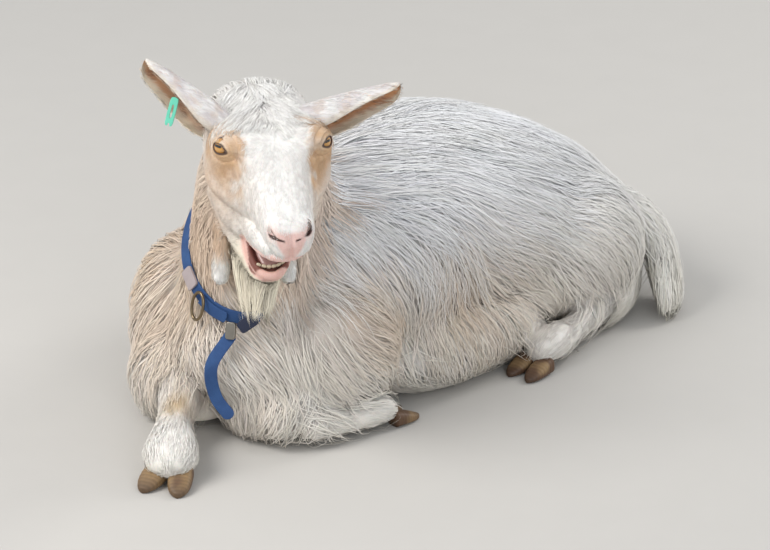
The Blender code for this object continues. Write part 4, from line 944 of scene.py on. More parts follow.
def isLabel(*names):
    # The skin points of the named forms.
    return np.isin(skinLabels, [labelOf[n] for n in names])


def trunkLie(p, n):
    # Along the back, falling as it runs, steeper on the shoulder and low on the flank; down at the chest and the rump.
    side = np.clip(np.abs(n[:, 0]) * 1.3, 0, 1)
    chest = 1 / (1 + np.exp((p[:, 1] + 21.0) / 2.5))[:, None]
    rump = 1 / (1 + np.exp(-(p[:, 1] - 21.0) / 3.0))[:, None]
    low = 1 - smooth(p[:, 2], 5.0, 15.0)
    fore = 1 - smooth(p[:, 1], -18.0, -3.0)
    down = 0.12 + 0.3 * side + (0.7 * low + 0.55 * fore) * side
    flank = np.stack([0.3 * np.sign(p[:, 0]) * (1 - side), 1.0 - 0.35 * low * side, -down], -1)
    front = np.stack([0.12 * np.sign(p[:, 0] - 1.0), 0.15 + 0 * side, -1.0 + 0 * side], -1)
    back = np.array([0.1, 0.75, -0.9])
    return flank * (1 - chest) * (1 - rump) + front * chest + back * rump * (1 - chest)


def axesOut(side):
    # The way out of an eye's socket.
    return eyeAxes(side)[2]


def headLie(p):
    # Out from the whorl between the eyes, up over the poll and down the nose, back and down on the cheeks.
    h = inHead(p)
    away = h - np.array([0.0, 10.4, 5.0])
    away[:, 0] *= 0.9
    cheek = smooth(np.abs(h[:, 0]), 3.5, 6.0)[:, None] * smooth(-h[:, 2], -3.0, 1.0)[:, None]
    low = smooth(-h[:, 2], 1.0, 4.0)[:, None]
    down = np.stack([np.sign(h[:, 0]) * 0.2, -0.65 + 0 * h[:, 0], -0.8 + 0 * h[:, 0]], -1)
    sweep = np.stack([np.sign(h[:, 0]) * 0.35 + 0.1 * h[:, 0], 0.9 + 0 * h[:, 0], 0.0 * h[:, 0]], -1)
    poll = smooth(-h[:, 1], -8.5, -6.0)[:, None] * smooth(h[:, 2], 0.0, 2.5)[:, None]
    way = unit(away) * (1 - cheek) + down * cheek
    way = way * (1 - low) + down * low
    way = unit(way * (1 - 0.85 * poll) + sweep * 0.85 * poll) @ headAxes
    for side in (-1, 1):
        gap = p - eyeCentres[side]
        off = gap - axesOut(side) * (gap @ axesOut(side))[:, None]
        way = way + unit(off) * (2.2 * np.exp(-((off ** 2).sum(1) / 2.4 ** 2)) * (gap @ axesOut(side) > -1))[:, None]
    return unit(way)


def coatLie():
    # The direction of the hair at each skin point: by form, evened out, then laid in the skin.
    p, n = skinPoints, skinNormals
    way = trunkLie(p, n)
    neck = isLabel("neck")
    way[neck] = np.stack([0.35 * n[neck, 0], 0.3 + 0 * p[neck, 0], -1.0 + 0 * p[neck, 0]], -1)
    way[isLabel("head")] = headLie(p[isLabel("head")])
    for side, name in earNames.items():
        base, tip, axis, face = earBase(side)
        pick = isLabel(name)
        rel = p[pick] - base
        off = rel - axis * (rel @ axis)[:, None]
        way[pick] = axis + 0.35 * unit(off)
    way[isLabel("wattle")] = (0.0, 0.0, -1.0)
    pick = isLabel("tail")
    rows = spline(tailRows, np.linspace(0, 1, 60))[:, :3]
    near = np.argmin(((p[pick][:, None] - rows[None]) ** 2).sum(-1), axis=1).clip(1, 58)
    way[pick] = unit(rows[near + 1] - rows[near - 1]) + n[pick] * 0.2
    pick = isLabel("leg")
    dist = np.array([toBone(p[pick], a, b)[0] / r for a, b, r in legBones])
    ways = unit(np.array([np.subtract(b, a) for a, b, r in legBones]))
    way[pick] = ways[np.argmin(dist, axis=0)] + (0, 0, -0.25)
    way = unit(way - n * (way * n).sum(1)[:, None])
    way = spread(way, 10)
    # Long hair wanders: its direction turns slowly from place to place, and round a whorl on the left flank.
    turn = 0.9 * (ripples(p, 0.16, 31) - 0.5) + 0.7 * (ripples(p, 0.5, 32) - 0.5)
    turn = (turn - 0.7 * bell(p, (15.5, -9.0, 14.0), (5.0, 4.0, 5.0))) * isLabel("trunk", "neck", "tail")
    turn = spread(turn, 6)[:, None]
    way = way * np.cos(turn) + np.cross(n, way) * np.sin(turn)
    return unit(way - n * (way * n).sum(1)[:, None])


coat = {
    # Colours of the hair, display values.
    "white": linear(249, 247, 243),
    "cream": linear(240, 229, 208),
    "tan": linear(214, 176, 138),
    "rust": linear(198, 136, 90),
    "coolShade": linear(240, 243, 250),
    "pink": linear(228, 184, 174),
    "lipPink": linear(228, 184, 172),
    "mouth": linear(120, 72, 62),
    "nostril": linear(58, 32, 26),
    "earSkin": linear(206, 194, 196),
    "callus": linear(196, 164, 112),
    "lash": linear(214, 196, 172),
    "tip": linear(228, 218, 184),
}
# Warm patches of the coat: centre, spread, strength.
warmPatches = [
    ((13.0, -19.0, 14.0), (5.0, 6.0, 4.5), 0.6), ((15.5, -6.0, 13.0), (4.0, 6.0, 5.0), 0.6),
    ((-3.0, -31.0, 17.0), (6.0, 5.0, 7.0), 0.75), ((4.0, -31.0, 20.0), (7.0, 5.0, 5.0), 0.55),
    ((-10.0, -25.0, 16.0), (7.0, 9.0, 7.5), 0.85), ((16.0, 8.0, 8.0), (5.0, 9.0, 5.0), 0.25),
    ((5.0, -32.0, 8.0), (7.0, 4.0, 6.0), 0.3),
]


def mixColour(base, other, weight):
    # Colour rows, each part of the way to the other colour.
    return base * (1 - weight[:, None]) + np.asarray(other) * weight[:, None]


def ripples(p, scale, seed):
    # Slow irregular variation: a sum of turned sine waves in 0..1.
    rng = np.random.default_rng(seed)
    total = np.zeros(len(p))
    for k in range(6):
        way = unit(rng.normal(size=3)) * scale * (0.7 + 0.5 * k)
        total += np.sin(p @ way + rng.uniform(0, 6.28)) / (1 + 0.4 * k)
    return 0.5 + 0.5 * np.tanh(total * 0.6)


def flatColour(tone, count):
    # Rows of one colour.
    return np.repeat(tone[None], count, 0)


def coatColour(p, labels):
    # White, with painted cool shade on the back and creamy below, with tan patches; the face, ears and wattles have
    # their own marks.
    base = flatColour(coat["white"], len(p))
    base = mixColour(base, coat["cream"], 0.2 * ripples(p, 0.35, 4))
    # The top of the back is tinted blue: painted cool shade.
    base = mixColour(base, coat["coolShade"], 0.75 * smooth(p[:, 2], 10, 22) * smooth(p[:, 1], -26, -14))
    warm = np.zeros(len(p))
    for centre, size, strength in warmPatches:
        warm = np.maximum(warm, strength * bell(p, centre, size))
    base = mixColour(base, coat["tan"], warm * (0.6 + 0.6 * ripples(p, 0.9, 8)).clip(0, 1))
    base = mixColour(base, coat["cream"], smooth(-p[:, 2], -6, 0) * 0.35)
    callus = labels == labelOf["leg"]
    base[callus] = mixColour(base[callus], coat["callus"], 0.8 * bell(p[callus], (0.5, -36.6, 5.4), (1.1, 1.4, 1.6)))
    neck = labels == labelOf["neck"]
    base[neck] = mixColour(base[neck], coat["tan"], 0.42 * smooth(p[neck][:, 2], 16, 26) + 0.1)
    h = inHead(p)
    isHead = labels == labelOf["head"]
    x = np.abs(h[:, 0])
    ragged = 1.1 * (ripples(h, 1.3, 2) - 0.5) + 0.7 * (ripples(h, 4.0, 12) - 0.5)
    start = 2.9 + np.where(h[:, 0] < 0, 0.5 - 0.7 * bell(h, (-4.0, 9.0, 4.0), (3.0, 2.4, 3.0)), 0)
    stripe = smooth(x + ragged - start, 0.0, 1.2) * smooth(h[:, 1], 1.5, 5.0)
    stripe = stripe * (1 - smooth(h[:, 1] + 0.25 * h[:, 2], 13.4, 16.5)) * smooth(h[:, 2], -4.5, 1.5)
    cheek = bell(np.stack([x, h[:, 1], h[:, 2]], -1), (6.5, 10.5, -2.5), (3.0, 4.6, 4.2)) * 0.7
    tan = np.maximum(stripe * (0.72 + 0.5 * ripples(h, 1.1, 14)).clip(0, 1), cheek * (0.7 + 0.4 * ripples(h, 0.9, 13)))
    for side in (-1, 1):
        brow = bell(h, (side * 4.6, 8.8, 5.9), (0.7, 1.3, 0.6))
        brow += bell(h, (side * 6.0, 8.3, 5.0), (0.6, 0.8, 0.6)) * 0.8
        tan = tan * (1 - 0.6 * np.clip(brow, 0, 1))
    faceBase = mixColour(flatColour(coat["white"], len(p)), coat["tan"], tan)
    throat = smooth(-h[:, 2], 5.0, 8.0) * 0.5 * (1 - smooth(h[:, 1], 11, 15))
    faceBase = mixColour(faceBase, coat["tan"], throat)
    nape = (1 - smooth(h[:, 1], -0.5, 4.0)) * (1 - smooth(h[:, 2] + 1.2 * (ripples(h, 1.6, 16) - 0.5), -4.5, 0.5))
    faceBase = mixColour(faceBase, coat["tan"], 0.52 * nape)
    jaw = smooth(-h[:, 2], 5.0, 8.5) * smooth(h[:, 1], 12, 15)
    faceBase = mixColour(faceBase, coat["cream"], jaw)
    base[isHead] = faceBase[isHead]
    for side, name in earNames.items():
        pick = labels == labelOf[name]
        t, inner, across = earSpot(side, p[pick])
        tone = flatColour(coat["earSkin"], pick.sum())
        tone = mixColour(tone, coat["white"], 0.25 + 0.6 * ripples(p[pick], 2.2, 5))
        tone = mixColour(tone, coat["tan"], 0.25 * smooth(ripples(p[pick], 3.5, 15), 0.6, 0.9))
        streak = ripples(np.stack([across * 3, t * 1.5, 0 * t], -1), 2.6, 6)
        deep = mixColour(flatColour(coat["rust"], pick.sum()), coat["cream"], 0.5 * streak)
        deep = mixColour(deep, coat["mouth"], 0.6 * smooth(ripples(p[pick], 2.4, 7), 0.62, 0.9))
        deep = mixColour(deep, coat["cream"], 0.85 * smooth(np.abs(across), 0.62, 0.85))
        tone = mixColour(tone, coat["cream"], 0.6 * smooth(np.abs(across), 0.8, 0.98) + 0.3 * smooth(t, 0.8, 1.0))
        base[pick] = mixColour(tone, deep, inner * smooth(t, 0.0, 0.15))
    wattle = labels == labelOf["wattle"]
    base[wattle] = mixColour(flatColour(coat["white"], wattle.sum()), coat["tan"],
                             smooth(p[wattle][:, 2], 20.5, 23.0) * 0.8)
    return base


def bareMask(p, labels):
    # 1 on the bare pink skin of the nose pad and the lips.
    h = inHead(p)
    isHead = labels == labelOf["head"]
    x = np.abs(h[:, 0] - nostril["midline"] - 0.1)
    reach = 0.45 + 0.95 * smooth(h[:, 2], -1.6, 0.6)
    pad = (1 - smooth(x, reach, reach + 0.45)) * smooth(h[:, 1], 19.4, 20.0) * smooth(h[:, 2], -3.0, -2.2)
    pad = pad * (1 - smooth(h[:, 2] - 0.12 * x, 0.95, 1.4))
    rim = np.zeros(len(p))
    for side in (-1, 1):
        rim = np.maximum(rim, bell(h, (0.3 + side * 1.95, 19.75, 0.95), (0.55, 0.6, 0.6)) * 0.9)
    lip = np.zeros(len(p))
    for name, reach in (("upper", 0.42), ("lower", 0.62)):
        near = lipDistance(h, spline(lips[name], np.linspace(0, 1, 60)))
        lip = np.maximum(lip, 1 - smooth(near, reach, reach + 0.22))
    return np.clip(np.maximum(np.maximum(pad, rim), lip), 0, 1) * isHead


def lipDistance(h, rows):
    # Distance to the nearest point of a lip's line.
    tree = KDTree(len(rows))
    for k, row in enumerate(rows):
        tree.insert(row[:3], k)
    tree.balance()
    out = np.full(len(h), 9.0)
    close = np.nonzero((h[:, 1] > 12) & (h[:, 2] < -1) & (h[:, 2] > -10))[0]
    out[close] = [tree.find(h[k])[2] for k in close]
    return out


def mouthMask(p, n, labels):
    # 1 inside the open mouth: the palate looks down, the floor of the jaw looks up.
    h = inHead(p)
    up = n @ headAxes[2]
    upper = (h[:, 2] > -6.6) & (h[:, 2] < -2.6) & (up < -0.2) & (np.abs(h[:, 0] - 0.2) < 2.3) & (h[:, 1] > 14)
    lower = (h[:, 2] > -8.2) & (h[:, 2] < -5.5) & (up > 0.1) & (np.abs(h[:, 0] + 0.9) < 2.1)
    deep = (h[:, 1] > 11) & (h[:, 1] < 15.2) & (h[:, 2] < -4.4) & (h[:, 2] > -7.4) & (np.abs(h[:, 0]) < 2.6)
    near = (upper & (h[:, 1] < 20)) | (lower & (h[:, 1] < 18.1) & (h[:, 1] > 12)) | deep
    return (near & (labels == labelOf["head"])).astype(float)


lieField = coatLie()
bare = spread(bareMask(skinPoints, skinLabels), 2)
mouth = spread(mouthMask(skinPoints, skinNormals, skinLabels), 1)


def skinColour():
    # The coat's colours a little darker, partly painted shade under the hair, with bare skin and mouth painted in, and
    # painted shade in the grooves and nostrils.
    base = coatColour(skinPoints, skinLabels)
    h = inHead(skinPoints)
    # The skin under the coat is a little darker than the hair: partly its own tone, partly painted shade between the
    # locks.
    base = mixColour(base * 0.92, coat["pink"], bare * 0.85)
    # The grooves of the face are half darkened with the mouth's colour: painted shade in the creases.
    for line, width, depth in creases:
        base = mixColour(base, coat["mouth"], 0.5 * creaseDepth(h, line, width * 0.8))
    base = mixColour(base, coat["lipPink"] * 0.8, 0.4 * bare * smooth(ripples(h, 7.0, 41), 0.6, 0.9))
    lipPart = bare * smooth(-h[:, 2], 4.6, 5.4)
    base = mixColour(base, coat["lipPink"], lipPart * 0.8)
    base = mixColour(base, coat["mouth"], mouth)
    # Round and inside each nostril the skin is painted nearly black: painted shade in the opening.
    for side in (-1, 1):
        rings = nostrilRings(side)[0]
        centre = rings.mean(1)
        reach = 1.15 * np.linalg.norm(rings - centre[:, None], axis=2).min(1)
        close = np.nonzero(np.linalg.norm(h - (0.3 + side * 1.5, 19.9, 0.8), axis=1) < 2.0)[0]
        gap = np.linalg.norm(skinPoints[close][:, None] - centre[None], axis=2)
        dark = (1 - smooth(gap - reach[None], 0.0, 0.1)).max(1)
        base[close] = mixColour(base[close], coat["nostril"], dark * 0.92)
    return base


def paintTone(obj, colours):
    # One colour for each point, under the name that the materials read.
    layer = obj.data.color_attributes.new("tone", "FLOAT_COLOR", "POINT")
    rgba = np.concatenate([colours, np.ones((len(colours), 1))], 1).astype(np.float32)
    layer.data.foreach_set("color", rgba.ravel())


paintTone(skin, skinColour())


def skinLook():
    # Painted colours under fine clouds, with pores in the bump.
    look = Look("goatSkin", rough=0.62, Subsurface_Weight=0.06)
    fine = look.noise(900.0, 3.0)
    look.bump(fine * 0.5 + look.noise(260.0, 4.0), 0.35, 0.0006)
    return look.shade(fine.above(0.35, 0.75) * 0.35, (0.82, 0.74, 0.70))


fleshNodes = ["torso", "neck", "head", "jaw", "tail", "foreleg_right", "foreleg_left", "forefoot_left",
              "hindleg_left", "hindleg_right", "ear_left", "ear_right", "wattle_left", "wattle_right"]
dress(skin, skinLook(), "coat", *fleshNodes)

print("stage: eyes and lids")
eyePaint = {
    "amber": linear(206, 150, 70),
    "deep": linear(128, 78, 30),
    "ring": linear(52, 32, 16),
    "pupil": linear(8, 7, 8),
    "white": linear(96, 74, 60),
    "rim": linear(66, 46, 40),
    "gaze": {-1: (-0.1216, -0.9366, 0.3294), 1: (0.9542, -0.1153, 0.2744)},
    "bulge": 0.08,
}


def makeEye(side, name):
    # A ball of rings round the gaze, with a low dome over the iris; iris and bar pupil are painted on it.
    gaze = unit(eyePaint["gaze"][side])
    level = unit(np.cross(gaze, (0, 0, 1.0)))
    high = np.cross(level, gaze)
    high = high * np.sign(high[2])
    v = np.concatenate([np.linspace(0.004, 1.1, 64), np.linspace(1.15, math.pi - 0.01, 14)])[:, None]
    u = np.linspace(0, 2 * math.pi, 72, endpoint=False)[None]
    radius = goat["eyeRadius"] + eyePaint["bulge"] * np.exp(-(v / 0.6) ** 4)
    flat = np.stack([radius * np.sin(v) * np.cos(u), radius * np.sin(v) * np.sin(u), radius * np.cos(v) + 0 * u], -1)
    eye = closedRings(name, eyeCentres[side] + flat @ np.stack([level, high, gaze]))
    p = readVerts(eye) - eyeCentres[side]
    x, y = p @ level, p @ high
    r, ang = np.hypot(x, y), np.arctan2(y, x)
    streak = 0.5 + 0.5 * np.sin(ang * 37 + 2 * np.sin(ang * 11)) * smooth(r, 0.1, 0.5)
    tone = mixColour(flatColour(eyePaint["amber"], len(p)), eyePaint["deep"],
                     0.35 * streak + 0.5 * smooth(r, 0.55, 0.9))
    tone = mixColour(tone, eyePaint["ring"], smooth(r, eyes["iris"] - 0.12, eyes["iris"]))
    tone = mixColour(tone, eyePaint["white"], smooth(r, eyes["iris"], eyes["iris"] + 0.1))
    wide, thick = eyes["pupil"]
    bar = (np.abs(x) / wide) ** 4 + (np.abs(y) / thick) ** 4
    tone = mixColour(tone, eyePaint["pupil"], 1 - smooth(bar, 0.7, 1.5))
    paintTone(eye, tone)
    return eye


def paintedLook(name, rough, **fixed):
    # A plain shiny material that only shows the painted colours.
    look = Look(name, rough=rough, **fixed)
    return look.feed(Base_Color=look.attribute("tone"))


def skinHeight(place, way):
    # How far the skin stands out from a place, or a usual height where a ray finds none.
    hit = skinTree.ray_cast(Vector((place + way * 6) * cm + shift), Vector(-way))[0]
    return 0.4 if hit is None else ((np.array(hit) - shift) / cm - place) @ way


def lidSurface(side, turns=128, steps=26):
    # Eased steps from the rim of the opening, on the ball, to a ring on the face, with a fold over the eye.
    axes, centre = eyeAxes(side), eyeCentres[side]
    th = np.linspace(0, 2 * math.pi, turns, endpoint=False)
    half, above, below = eyes["open"]
    cu, su = np.cos(th), np.sin(th)
    a = half * cu - 0.12 + 0.16 * smooth(cu, 0.75, 1.0)
    b = np.where(su > 0, above, below) * signedPower(su, 0.85) - 0.1 * smooth(cu, 0.5, 1.0)
    ball = goat["eyeRadius"] + 0.04 + eyePaint["bulge"] * 0.6
    margin = np.stack([a, b, np.sqrt(np.maximum(ball ** 2 - a ** 2 - b ** 2, 0.1))], -1)
    outer = np.stack([eyes["ring"][0] * cu, eyes["ring"][1] * su, 0 * cu], -1)
    outer[:, 2] = [skinHeight(centre + p @ axes, axes[2]) - 0.1 for p in outer]
    t = np.linspace(0, 1, steps)[None, :, None]
    sheet = margin[:, None] * (1 - t ** 0.8) + outer[:, None] * t ** 0.8
    t = t[..., 0]
    top = smooth(su, -0.3, 0.5)[:, None]
    puff = np.sin(math.pi * t ** 0.8) * (0.13 + 0.2 * top)
    crease = 0.17 * top * np.exp(-((t - 0.36) / 0.06) ** 2) + 0.06 * (1 - top) * np.exp(-((t - 0.45) / 0.05) ** 2)
    sheet[..., 2] += puff - crease + 0.07 * np.exp(-(t / 0.05) ** 2)
    sheet[..., 1] -= 0.10 * top * np.exp(-((t - 0.16) / 0.12) ** 2)
    inner = sheet[:, ::-1] - np.array([0, 0, 0.14])
    return centre + sheet @ axes, centre + np.concatenate([sheet, inner], 1) @ axes


def makeLid(side, name):
    # The lid sheet with its inner side, coloured as the face, dark along the rim.
    sheet, loop = lidSurface(side)
    turns, count, _ = loop.shape
    lid = faceOut(makeObject(name, loop.reshape(-1, 3), ringFaces(turns, count, loop=True)))
    p = readVerts(lid)
    tone = coatColour(p, np.full(len(p), labelOf["head"]))
    step = np.tile(np.concatenate([np.arange(count // 2), np.arange(count // 2)[::-1]]), turns)
    tone = mixColour(tone, eyePaint["rim"], 0.95 * (1 - smooth(step, 2.0, 6.0)))
    paintTone(lid, tone)
    return lid, sheet


wetEye = paintedLook("wetEye", 0.06, Coat_Weight=1.0, Coat_Roughness=0.02, Specular_IOR_Level=0.7)
lidSheets = {}
for side, word in ((-1, "Right"), (1, "Left")):
    dress(makeEye(side, "eye" + word), wetEye, "eye", "eye_" + word.lower())
    lid, lidSheets[side] = makeLid(side, "lid" + word)
    dress(lid, skin.data.materials[0], "coat")

print("stage: mouth")
mouthParts = {
    "teeth": 6,
    "toothMiddle": (-0.78, 17.95, -7.15),
    "toothSpan": 1.3,
    "tooth": (0.27, 0.13, 0.56),
    "tongue": [(-0.8, 12.4, -6.8, 1.0, 0.5), (-0.85, 14.6, -7.0, 1.25, 0.5), (-0.85, 16.2, -7.15, 1.25, 0.42),
               (-0.85, 17.3, -7.2, 0.95, 0.32)],
    "ivory": linear(232, 222, 196),
    "stain": linear(150, 118, 80),
    "tongueTone": linear(150, 112, 108),
}


def makeTeeth():
    # Flat rounded blades in a shallow arc, leaning out over the lower lip.
    rings = []
    for a in np.linspace(-1, 1, mouthParts["teeth"]):
        middle = np.array(mouthParts["toothMiddle"]) + (a * mouthParts["toothSpan"], -0.4 * a * a, 0.05 * a)
        axes = unit(np.array([(1, -0.5 * a, 0), (0.5 * a, 1, -0.35), (a * 0.1, 0.38, 1.0)])) @ headAxes
        ball = ballRings((0, 0, 0), (1, 1, 1), rings=14, count=20)
        rings.append(onHead(middle) + (signedPower(ball, 0.75) * mouthParts["tooth"]) @ axes)
    first = closedRings("teeth", rings[0])
    bm = bmesh.new()
    bm.from_mesh(first.data)
    for more in rings[1:]:
        other = closedRings("tooth", more)
        bm.from_mesh(other.data)
        bpy.data.objects.remove(other, do_unlink=True)
    bm.to_mesh(first.data)
    bm.free()
    p = inHead(readVerts(first))
    rise = smooth(p[:, 2], -7.55, -7.15)
    tone = mixColour(flatColour(mouthParts["stain"], len(p)), mouthParts["ivory"], rise)
    paintTone(first, mixColour(tone, mouthParts["stain"], 0.5 * smooth(p[:, 2], -6.85, -6.7)))
    first.data.shade_smooth()
    return first


tongueRows = np.array(mouthParts["tongue"])
tongueRows[:, :3] = onHead(tongueRows[:, :3])
tongue = closedRings("tongueBody", tubeRings(tongueRows, 32, 40, ref=headAxes[2], ends=(0.6, 0.9)))
tonguePoints = readVerts(tongue)
paintTone(tongue, mixColour(flatColour(mouthParts["tongueTone"], len(tonguePoints)), coat["lipPink"],
                            0.4 * ripples(tonguePoints, 3.0, 9)))
wetCoat = {"Coat_Weight": 0.4, "Coat_Roughness": 0.15}
dress(tongue, paintedLook("tongueFlesh", 0.35, **wetCoat), "tongue", "tongue")
dress(makeTeeth(), paintedLook("tooth", 0.3, **wetCoat), "horn")

# The skin's triangles, on which the hair is rooted.
bareHere = bare + mouth
loops = np.zeros(len(skin.data.polygons) * 3, np.int32)
skin.data.polygons.foreach_get("vertices", loops)
triangles = loops.reshape(-1, 3)
corner = skinPoints[triangles]
triArea = 0.5 * np.linalg.norm(np.cross(corner[:, 1] - corner[:, 0], corner[:, 2] - corner[:, 0]), axis=1)
triLabels = skinLabels[triangles[:, 0]]
triPlace = corner.mean(1)
triNormal = unit(skinNormals[triangles].mean(1))
triLie = unit(lieField[triangles].mean(1))


def nearSkin(points):
    # The nearest place on the skin, the way out of it there, and its face.
    place, face = np.empty((len(points), 3)), np.empty(len(points), np.int64)
    for k, row in enumerate((points * cm + shift).tolist()):
        place[k], _, face[k], _ = skinTree.find_nearest(row)
    return (place - shift) / cm, triNormal[face], face


print("stage: collar")
collar = {
    "centre": (1.0, -25.4, 20.6),
    "normal": (0.384, -0.548, 0.743),
    "width": 1.5,
    "thick": 0.26,
    "blue": linear(26, 58, 108),
    "light": linear(56, 98, 150),
    "navy": linear(26, 34, 58),
    "stone": linear(168, 156, 156),
    "bronze": linear(132, 116, 92),
    "steel": linear(150, 144, 134),
    "hang": [(4.6, -32.3, 13.3), (4.1, -34.9, 10.5), (4.3, -34.6, 6.9), (6.0, -34.0, 4.5)],
}


def webbingLook(name, base, light):
    # Ribs across the tape and a diagonal twill, from the tape's own length and width in the map; where they stand high
    # the colour is lighter, a painted highlight.
    look = Look(name, rough=0.72)
    tape = look.node("UVMap", {"uv_map": "tape"})
    along, across = (look.node("SeparateXYZ", None, {0: tape}, k) for k in (0, 1))
    rib = (along * 52.0).sine() * 0.5 + 0.5
    twill = (along * 30.0 + across * 34.0).sine() * 0.5 + 0.5
    height = rib * 0.6 + twill * 0.6 + look.noise(700.0, 3.0) * 0.4
    look.bump(height, 0.5, 0.0006)
    worn = look.noise(60.0, 3.0).above(0.4, 0.75)
    # The lighter blue goes on the raised threads as a painted highlight, and on worn clouds as real wear.
    return look.feed(Base_Color=look.mix(height * 0.35 + worn * 0.25, base, light))


def tapeMesh(name, line, out, across, width, thick, closed):
    # A rounded oblong section carried along a line; the map holds centimetres along and across.
    n = len(line)
    ang = np.linspace(0, 2 * math.pi, 28, endpoint=False)
    cx = signedPower(np.cos(ang), 0.35) * 0.5 * width
    cy = signedPower(np.sin(ang), 0.6) * 0.5 * thick
    tip = np.clip((np.linspace(0, 1, n) - 0.93) / 0.072, 0, 1)
    widths = np.ones(n) if closed else np.sqrt(np.clip(1 - tip ** 2, 0.02, 1))
    rings = (line[:, None] + across[:, None] * (cx[None] * widths[:, None])[..., None]
             + out[:, None] * cy[None, :, None])
    if closed:
        obj = faceOut(makeObject(name, rings.reshape(-1, 3), ringFaces(n, len(ang), loop=True)))
    else:
        obj = closedRings(name, rings)
    run = np.concatenate([[0], np.cumsum(np.linalg.norm(np.diff(line, axis=0), axis=1))])
    uv = np.stack([np.repeat(run[:, None], len(ang), 1), np.repeat(cx[None], n, 0)], -1).reshape(-1, 2)
    uv = np.concatenate([uv, [[0, 0], [run[-1], 0]]])
    index = np.zeros(len(obj.data.loops), np.int32)
    obj.data.loops.foreach_get("vertex_index", index)
    obj.data.uv_layers.new(name="tape").data.foreach_set("uv", uv[index].astype(np.float32).ravel())
    return obj


def around(values, rounds):
    # Evened out along a closed row: half of each value and a quarter of each neighbour.
    for _ in range(rounds):
        values = 0.25 * np.roll(values, 1, 0) + 0.5 * values + 0.25 * np.roll(values, -1, 0)
    return values


def bandCover(points):
    # 1 where long neck hair hides the collar, on the goat's left and behind, 0 where it shows.
    return np.maximum(smooth(points[:, 0], 5.8, 7.0), smooth(points[:, 1], -25.5, -22.5))


def bandLine(steps=180):
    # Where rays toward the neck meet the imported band, evened out along the loop.
    n = unit(collar["normal"])
    a = unit(np.cross((0.2, 1, 0.1), n))
    b = np.cross(n, a)
    tree = BVHTree.FromObject(frame["nodes"]["collar_band"], bpy.context.evaluated_depsgraph_get())
    points = []
    for ang in np.linspace(0, 2 * math.pi, steps, endpoint=False):
        way = a * math.cos(ang) + b * math.sin(ang)
        hit = tree.ray_cast(Vector((np.array(collar["centre"]) + way * 20) * cm + shift), Vector(-way))[0]
        points.append(points[-1] if hit is None else (np.array(hit) - shift) / cm)
    points = around(np.array(points), 12)
    along = unit(np.roll(points, -1, 0) - np.roll(points, 1, 0))
    out = unit(np.cross(n[None], along))
    out = out * np.sign(((points - np.array(collar["centre"])) * out).sum(1))[:, None]
    shown = (1 - bandCover(points))[:, None]
    out = around(unit(out + (0.2 + 0.6 * shown) * n), 10)
    out = unit(out - along * (out * along).sum(1)[:, None])
    across = np.cross(out, along)
    flat, normal, _ = nearSkin(points)
    sunk = around((flat - normal * 0.12 - points) * (1 - shown), 8)
    points = points + sunk + out * (0.25 * shown - 0.5 * collar["thick"])
    return points, out, across * np.sign(across @ n)[:, None]


def openTape(name, rows, across, width, thick, steps=70):
    # A tape with a rounded tip along the spline through its rows.
    line = spline(rows, np.linspace(0, 1, steps))
    along = unit(np.gradient(line, axis=0))
    side = np.asarray(across, float)
    side = unit(side - along * (along @ side)[:, None])
    return tapeMesh(name, line, np.cross(along, side), side, width, thick, False)


def blockMesh(name, centre, axes, half, power=4.0, edge=0.35):
    # A cushion-edged block: superellipse rings that draw in toward both faces.
    axes = unit(np.asarray(axes, float))
    ang = np.linspace(0, 2 * math.pi, 64, endpoint=False)
    ex = 2 / power
    cx, cy = signedPower(np.cos(ang), ex), signedPower(np.sin(ang), ex)
    turn = np.linspace(-math.pi / 2, math.pi / 2, 15)
    rise = signedPower(np.sin(turn), 0.8)
    rings = [np.stack([cx * (half[0] - edge * half[2] * (1 - c)), cy * (half[1] - edge * half[2] * (1 - c)),
                       np.full(64, h * half[2])], -1) for h, c in zip(rise, np.maximum(np.cos(turn), 0) ** 0.5)]
    return closedRings(name, np.asarray(centre) + np.array(rings) @ axes)


def plainLook(name, base, rough, metal):
    # One colour with darker clouds of dirt and a light wear in the bump.
    look = Look(name, rough=rough, metal=metal)
    look.bump(look.noise(300.0, 4.0), 0.12, 0.0004)
    dirt = look.noise(90.0, 3.0).above(0.35, 0.8)
    return look.feed(Base_Color=look.mix(dirt * 0.4, base, base * 0.62))


webbing = webbingLook("blueWebbing", collar["blue"], collar["light"])
bandPoints, bandOut, bandAcross = bandLine()
dress(tapeMesh("collarBand", bandPoints, bandOut, bandAcross, collar["width"], collar["thick"], True), webbing,
      "blue", "collar_band")
dress(openTape("collarEnd", collar["hang"], (0.78, 0.62, 0.15), 1.4, 0.2), webbing, "blue", "collar_end")


def bandSpot(near, lift):
    # A place over the band by the given point, with the ways out, along and across there.
    k = int(np.argmin(np.linalg.norm(bandPoints - np.asarray(near, float), axis=1)))
    along = unit(bandPoints[(k + 1) % len(bandPoints)] - bandPoints[k - 1])
    return bandPoints[k] + bandOut[k] * lift, bandOut[k], along, bandAcross[k]


doubled = []
for near, drop in (((0.2, -31.6, 16.4), 0.1), ((1.9, -31.5, 15.6), 0.2), ((3.6, -31.3, 15.0), 0.3)):
    place, out, along, across = bandSpot(near, 0.32)
    doubled.append(place - across * drop)
dress(openTape("collarStrap", doubled, across, 1.35, 0.2, 40), webbing, "blue", "collar_strap")
place, out, along, across = bandSpot((-1.3, -31.1, 18.4), 0.32)
dress(blockMesh("collarSlide", place - out * 0.1, (along, across, out), (1.2, 0.8, 0.15), 7.0),
      plainLook("greySlide", collar["stone"], 0.5, 0.0), "grey", "collar_slide")


